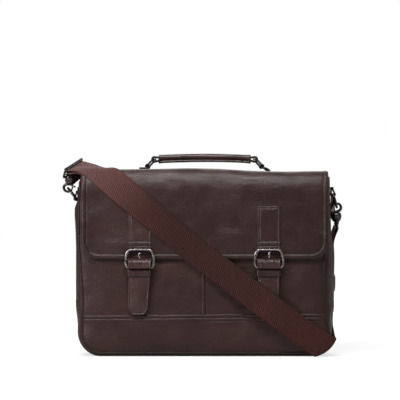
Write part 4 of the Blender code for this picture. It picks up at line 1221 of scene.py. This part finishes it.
def make_hook(name, side):
    """A snap hook with its gate, and the eye that the webbing goes round."""
    start = BARS[side] + AIMS[side] * RING_DEPTH
    along = unit(EYES[side] - start)
    high = np.linalg.norm(EYES[side] - start)
    flat = unit((0, 1.0, 0) - along * along[1])
    out = np.cross(flat, along)
    if out[0] * side < 0:
        out = -out
    square = np.cross(along, out)

    def at(pairs):
        return [start + along * a + out * o for a, o in pairs]

    def metal(part, path, radius, sides=14, look=HOOKS, way=out, **more):
        section = radius if np.ndim(radius) else circle(radius, sides=sides)
        return tube(part % name, path, section, look, side=way, **more)

    bow = [(0.0064 * sin(t), 0.0064 * cos(t)) for t in np.radians(np.linspace(80, -165, 30))]
    path = smooth_path(at([(0.0155, 0.0), (0.0125, 0.0), (0.009, 0.0006)] + bow), 60)
    sizes = np.concatenate([np.linspace(1.5, 1.15, 12), np.linspace(1.15, 0.85, 48)])
    hook = metal("hook_%s_bow", path, 0.002, way=square, scales=sizes)
    sizes = np.interp(np.linspace(0, 1, 14), (0, 0.15, 0.5, 0.85, 1), (0.62, 0.95, 1, 0.88, 0.66))
    path = at((a, 0.0) for a in np.linspace(0.0084, 0.0212, 14))
    block = metal("hook_%s_body", path, circle(0.0076, 0.0054, 16, 0.7), scales=sizes)
    cast = merge("hook_%s_cast" % name, [hook, block])
    finish(cast, "hook_" + name, "gunmetal", "hook_" + name)

    path = smooth_path(at([(0.0096, -0.0036), (0.0044, -0.0062), (-0.0006, -0.0066)]), 14)
    gate = metal("hook_gate_%s_bar", path, 0.0013, 10, METAL, square)
    path = at((0.005, -0.007 - d) for d in (0.0, 0.001, 0.0022, 0.0032))
    knob = metal("hook_gate_%s_knob", path, 0.0014, 10, METAL, square, scales=(0.8, 0.8, 1.2, 1.0))
    lever = merge("hook_gate_%s_lever" % name, [gate, knob])
    finish(lever, "hook_gate_" + name, "gunmetal", "hook_gate_" + name)

    way = unit(EYE_WAYS[side])
    low = 0.0262
    wide = (WEB_WIDTH + 0.005) / 2 - EYE_CORNER
    pairs = rounded_loop(wide, (high - low) / 2 - EYE_CORNER, (EYE_CORNER, EYE_CORNER), 7)
    path = loop_path(start + along * (high + low) / 2, way, along, pairs, LOOP_PITCH)
    pieces = [metal("hook_eye_%s_ring", path, 0.0017, closed=True)]
    path = at((a, 0.0) for a in np.linspace(0.02, 0.0272, 9))
    pieces.append(metal("hook_eye_%s_barrel", path, 0.004, 20,
                        scales=(0.75, 1.0, 1.0, 0.82, 0.82, 0.82, 1.0, 1.0, 0.85)))
    for part, far, radius, sides in (("outer", high + 0.0004, OUTER_BARS[side], 14),
                                     ("inner", high - 0.0052, 0.0013, 10)):
        ends = [start + along * far + way * w for w in (-wide - 0.003, wide + 0.003)]
        pieces.append(metal("hook_eye_%s_" + part, even_path(ends, 0.004), radius, sides))
    fan = []
    for share in np.linspace(0, 1, 14):
        reach = 0.004 + (wide - 0.0035) * share**1.6
        row = np.linspace(-1, 1, 9)[:, None] * way * reach
        fan.append(start + along * (0.0258 + 0.005 * share) + row)
    pieces.append(slab("hook_eye_%s_fan" % name, fan, 0.0026, HOOKS, both=True))
    eye = merge("hook_eye_%s_cast" % name, pieces)
    finish(eye, "bag", "gunmetal", "hook_eye_" + name)


def make_hook_shadow(name, side):
    """A dark leather sheet behind a hook, between two edges: painted shade."""
    ways = smooth_path(HOOK_SHADOWS[side], 40)
    t = np.linspace(0, 1, 21)[None, :, None]
    grid = ways[:, :1] * (1 - t) + ways[:, 1:] * t
    grid[..., 0] += side * 0.0012 * np.sin(pi * t[..., 0]) + 0.0003 * noise(grid, 0.012, 3)
    shadow_sheet = slab("hook_shadow_%s_skin" % name, grid, 0.0016, DARK, both=True)
    finish(shadow_sheet, "bag", "trim_leather")


# ---------------------------------------------------------------- shoulder strap
KEY_STEP = 14                     # rows of mesh from one key row to the next
ON_FLAP = (                       # place across, run and lift, by the slope there
    (-0.835, ((-0.166, 0.287, 0.0042), (-0.148, 0.272, 0.0034), (-0.1288, 0.256, 0.0034),
              (-0.1, 0.232, 0.0038))),
    (-0.8, ((-0.068, 0.2052, 0.0038), (-0.035, 0.178, 0.0031), (-0.007, 0.155, 0.0029))),
    (-0.755, ((0.025, 0.131, 0.005), (0.05, 0.112, 0.0085), (0.078, 0.0905, 0.012),
              (0.098, 0.0752, 0.013), (0.118, 0.06, 0.0114), (0.145, 0.0395, 0.006),
              (0.165, 0.0265, 0.0014))),
)
ROUND_THE_SIDE = (                # middle of a row, and its way across
    ((0.1785, -0.0535, 0.0165), (0.68, 0.0, 0.733)),
    ((0.1846, -0.05, 0.014), (0.754, 0.0, 0.657)),
    ((0.185, -0.035, 0.0155), (0.7, 0.0, 0.714)),
    ((0.1867, -0.005, 0.0205), (0.62, -0.1, 0.78)),
    ((0.189, 0.02, 0.034), (0.45, -0.55, 0.7)),
    ((0.194, 0.033, 0.06), (0.26, -0.92, 0.32)),
    ((0.1966, 0.036, 0.09), (0.19, -0.98, 0.08)),
    ((0.1968, 0.036, 0.12), (0.19, -0.98, 0.0)),
    ((0.1974, 0.033, 0.151), (0.17, -0.98, 0.0)),
    ((0.1986, 0.024, 0.175), (0.06, -0.99, -0.05)),
    ((0.2054, 0.0092, 0.1945), (0.0, -1.0, -0.05)),
)
ACROSS = np.linspace(-0.5, 0.5, 2 * WEB_MID + 1) * WEB_WIDTH


def free_row(centre, way):
    return np.array(centre) + ACROSS[:, None] * unit(np.array(way))


def flat_row(x, run, lift, slope):
    way = unit(np.array([-slope, 1.0]))
    return flap_at(x + way[0] * ACROSS, run + way[1] * ACROSS, lift, 0.0)


def strap_rows():
    """Key rows of the shoulder strap, from the left hook's bar to the right hook's bar."""
    t = ACROSS / ACROSS[-1]
    corner = flat_row(-0.182, 0.3004, 0.0052, -0.835)
    corner[:, 2] += 0.0045 * t * np.abs(t)
    corner[:, 1] -= 0.0045 * np.clip(-t, 0, 1) ** 1.5
    rows = [free_row((-0.1985, -0.017, 0.2908), (0.02, 0.032, 0.0153)), corner]
    rows += [flat_row(*place, slope) for slope, places in ON_FLAP for place in places]
    rows += [free_row(*place) for place in ROUND_THE_SIDE]
    for k in (-11, -10, -9):      # bowed out where they turn round the lower corner
        rows[k] = rows[k] + (1 - t[:, None] ** 2) * np.array([0.0036, 0.0, -0.0032])
    return np.array(rows)


def webbing(name, grid, run, thickness, held, rests):
    """One sheet of the strap, from its rows and how far along the cloth they are."""
    marks = np.stack(np.broadcast_arrays(ACROSS, run[:, None]), -1)
    piece = slab("shoulder_strap_" + name, grid, thickness, WEB, both=True, marks=marks)
    return piece


def webbing_turn(name, side, grid):
    """The webbing's end, turned round the eye's bar and sewn under the strap."""
    radius = 0.0026
    under = grid if side < 0 else grid[::-1]
    edge = under[0]
    inwards = unit(under[6][WEB_MID] - edge[WEB_MID])
    lift = unit(np.cross(edge[-1] - edge[0], inwards))
    centre = EYES[side] - (0.0, 0.0, 0.01 if side < 0 else 0.0)
    if (edge[WEB_MID] - centre).dot(lift) < 0:
        lift = -lift
    pairs = [(0.0012, radius)] + [(c * radius, s * radius) for c, s in turn(90, 270, 16)]
    rows = [edge + inwards * (u - 0.001) + lift * (v - radius) for u, v in pairs]
    under = under[: 30 if side < 0 else 14]
    normal = unit(np.cross(np.gradient(under, axis=0), np.gradient(under, axis=1)))
    if normal[3, WEB_MID].dot(lift) < 0:
        normal = -normal
    gap = np.linspace(2 * radius, 0.0021, len(under))[:, None, None]
    rows = np.array(rows + list((under - normal * gap)[2:]))
    return webbing("turn_" + name, rows, distances(rows[:, WEB_MID]), WEB_THICK - 0.0001,
                   "folded", "hook_eye_%s_cast" % name)


def make_adjuster():
    way = unit(np.array([0.19, -0.98, 0.0]))
    out = -np.cross(way, (0, 0, 1.0))
    out = out * np.sign(out[0])
    middle = np.array([0.1967, 0.036, 0.11]) + out * 0.0004
    corner = 0.004
    pairs = rounded_loop(0.0235 - corner, 0.012 - corner, (corner, corner), 8)
    path = loop_path(middle, way, np.array([0, 0, 1.0]), pairs, LOOP_PITCH)
    ring = tube("adjuster_ring", path, circle(0.0014, 0.0013, 14, 0.8), METAL, closed=True,
                side=out)
    ends = [middle - way * 0.0225, middle + way * 0.0225]
    bar = tube("adjuster_bar", even_path(ends, 0.004), circle(0.0012), METAL, side=out)
    finish(merge("strap_adjuster_cast", [ring, bar]), "adjuster", "gunmetal", "strap_adjuster")


def make_strap():
    keys = strap_rows()
    last = (len(keys) - 1) * KEY_STEP
    grid = smooth_path(keys, last + 1)
    run = distances(grid[:, WEB_MID])
    wave = np.abs(0.00035 * noise(grid, 0.035, 4))
    grid[..., 1] -= wave * (step(0.1, 0.2, run) * step(run[-1] - 0.2, run[-1] - 0.3, run))[:, None]

    def part(name, first, end, held, rests):
        rows = slice(first * KEY_STEP, end * KEY_STEP + 1)
        return webbing(name, grid[rows], run[rows], WEB_THICK, held, rests)

    piece = part("start", 0, 3, "draped", "flap_skin")
    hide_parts("shoulder_strap")
    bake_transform(piece)
    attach(part("front", 3, 8, "draped", "flap_skin"), "flap")
    piece = part("lower", 8, 18, "draped", "front_base_band_skin")
    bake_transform(piece)
    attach(part("back", 18, len(keys) - 1, "hung", "gusset_right_skin"), "bag")
    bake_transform(webbing_turn("left", -1, grid))
    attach(webbing_turn("right", 1, grid), "bag")
    make_adjuster()


# ---------------------------------------------------------------- inside
LINING_HALF, LINING_DEPTH, LINING_CORNER = 0.1795, 0.0436, 0.004
LINING_LOW, LINING_TOP = 0.0098, 0.2575
LINING_TUCK = 0.024               # how far the lining rounds in towards the bottom
LINING_THICK = 0.0006


def make_lining():
    """Lining as one soft skin round the inside of the case."""
    rings = []
    for t in np.linspace(0, 1, 44):
        z = LINING_TOP - (LINING_TOP - LINING_LOW) * t
        tuck = max(0.0, 1 - (z - LINING_LOW) / LINING_TUCK)
        pull = LINING_TUCK * (1 - np.sqrt(max(0.0, 1 - tuck**2)))
        pairs = rounded_loop(LINING_HALF - LINING_CORNER - pull, LINING_DEPTH - LINING_CORNER,
                             (LINING_CORNER, LINING_CORNER), 6)
        ring = even_path(stack(*pairs.T, z), 0.0075)
        rings.append(np.concatenate([ring, ring[:1]]))
    count = min(len(ring) for ring in rings) - 1
    outer = np.array([at_runs(np.linspace(0, len(ring) - 1, count, endpoint=False),
                              np.arange(len(ring)), ring) for ring in rings])
    inward = unit(outer * (-0.25, -1, 0))
    outer = outer + inward * 0.0007 * (0.5 + 0.5 * noise(outer, 0.035, 2))[..., None]
    inner = outer + inward * LINING_THICK
    inner[-1] = outer[-1] + (0, 0, LINING_THICK)
    lining = loft("lining_skin", np.concatenate([outer[::-1], inner]), CLOTH)
    finish(lining, "bag", "lining_textile", "lining")


def inside_panel(name, half, low, high, y, thickness, look, feet=0.0, seed=1):
    """An upright panel in the case, its lower corners cut off if it has feet."""
    grid = []
    for x in columns(-half, half, 60):
        z = np.linspace(low + feet * max(0.0, abs(x) - (half - 0.024)), high, 44)
        grid.append(stack(x, y + 0.0006 * noise(stack(x, 0.0, z), 0.05, seed), z))
    return slab(name, grid, thickness, look, both=True, flip=True)


def make_inside():
    make_lining()
    divider = inside_panel("divider_skin", 0.1755, 0.0115, 0.2335, 0.0, 0.0058, CLOTH, feet=1.0)
    finish(divider, "bag", "lining_textile", "divider")
    path = stack(np.linspace(-0.175, 0.175, 80), 0.0, 0.234)
    hem = tube("divider_binding", path, circle(0.0034, 0.0016), TRIM)
    finish(hem, "bag", "lining_textile")
    pocket = inside_panel("slip_pocket_skin", 0.1195, 0.0605, 0.199, 0.0405, 0.0009, CLOTH,
                          seed=3)
    finish(pocket, "bag", "lining_textile", "slip_pocket")
    hem = inside_panel("slip_pocket_hem", 0.119, 0.185, 0.1985, 0.0397, 0.001, TRIM, seed=3)
    finish(hem, "bag", "lining_textile")
    dress_hidden("base_board", BOARD)


def both_sides(*makers):
    for name, side in SIDES:
        for make in makers:
            make(name, side)


make_stage()
make_faces()
make_sides()
make_flap()
both_sides(make_patch, make_fold, make_buckle, make_tail)
make_grip()
both_sides(make_handle_side)
both_sides(make_dring, make_hook, make_hook_shadow)
make_strap()
make_inside()
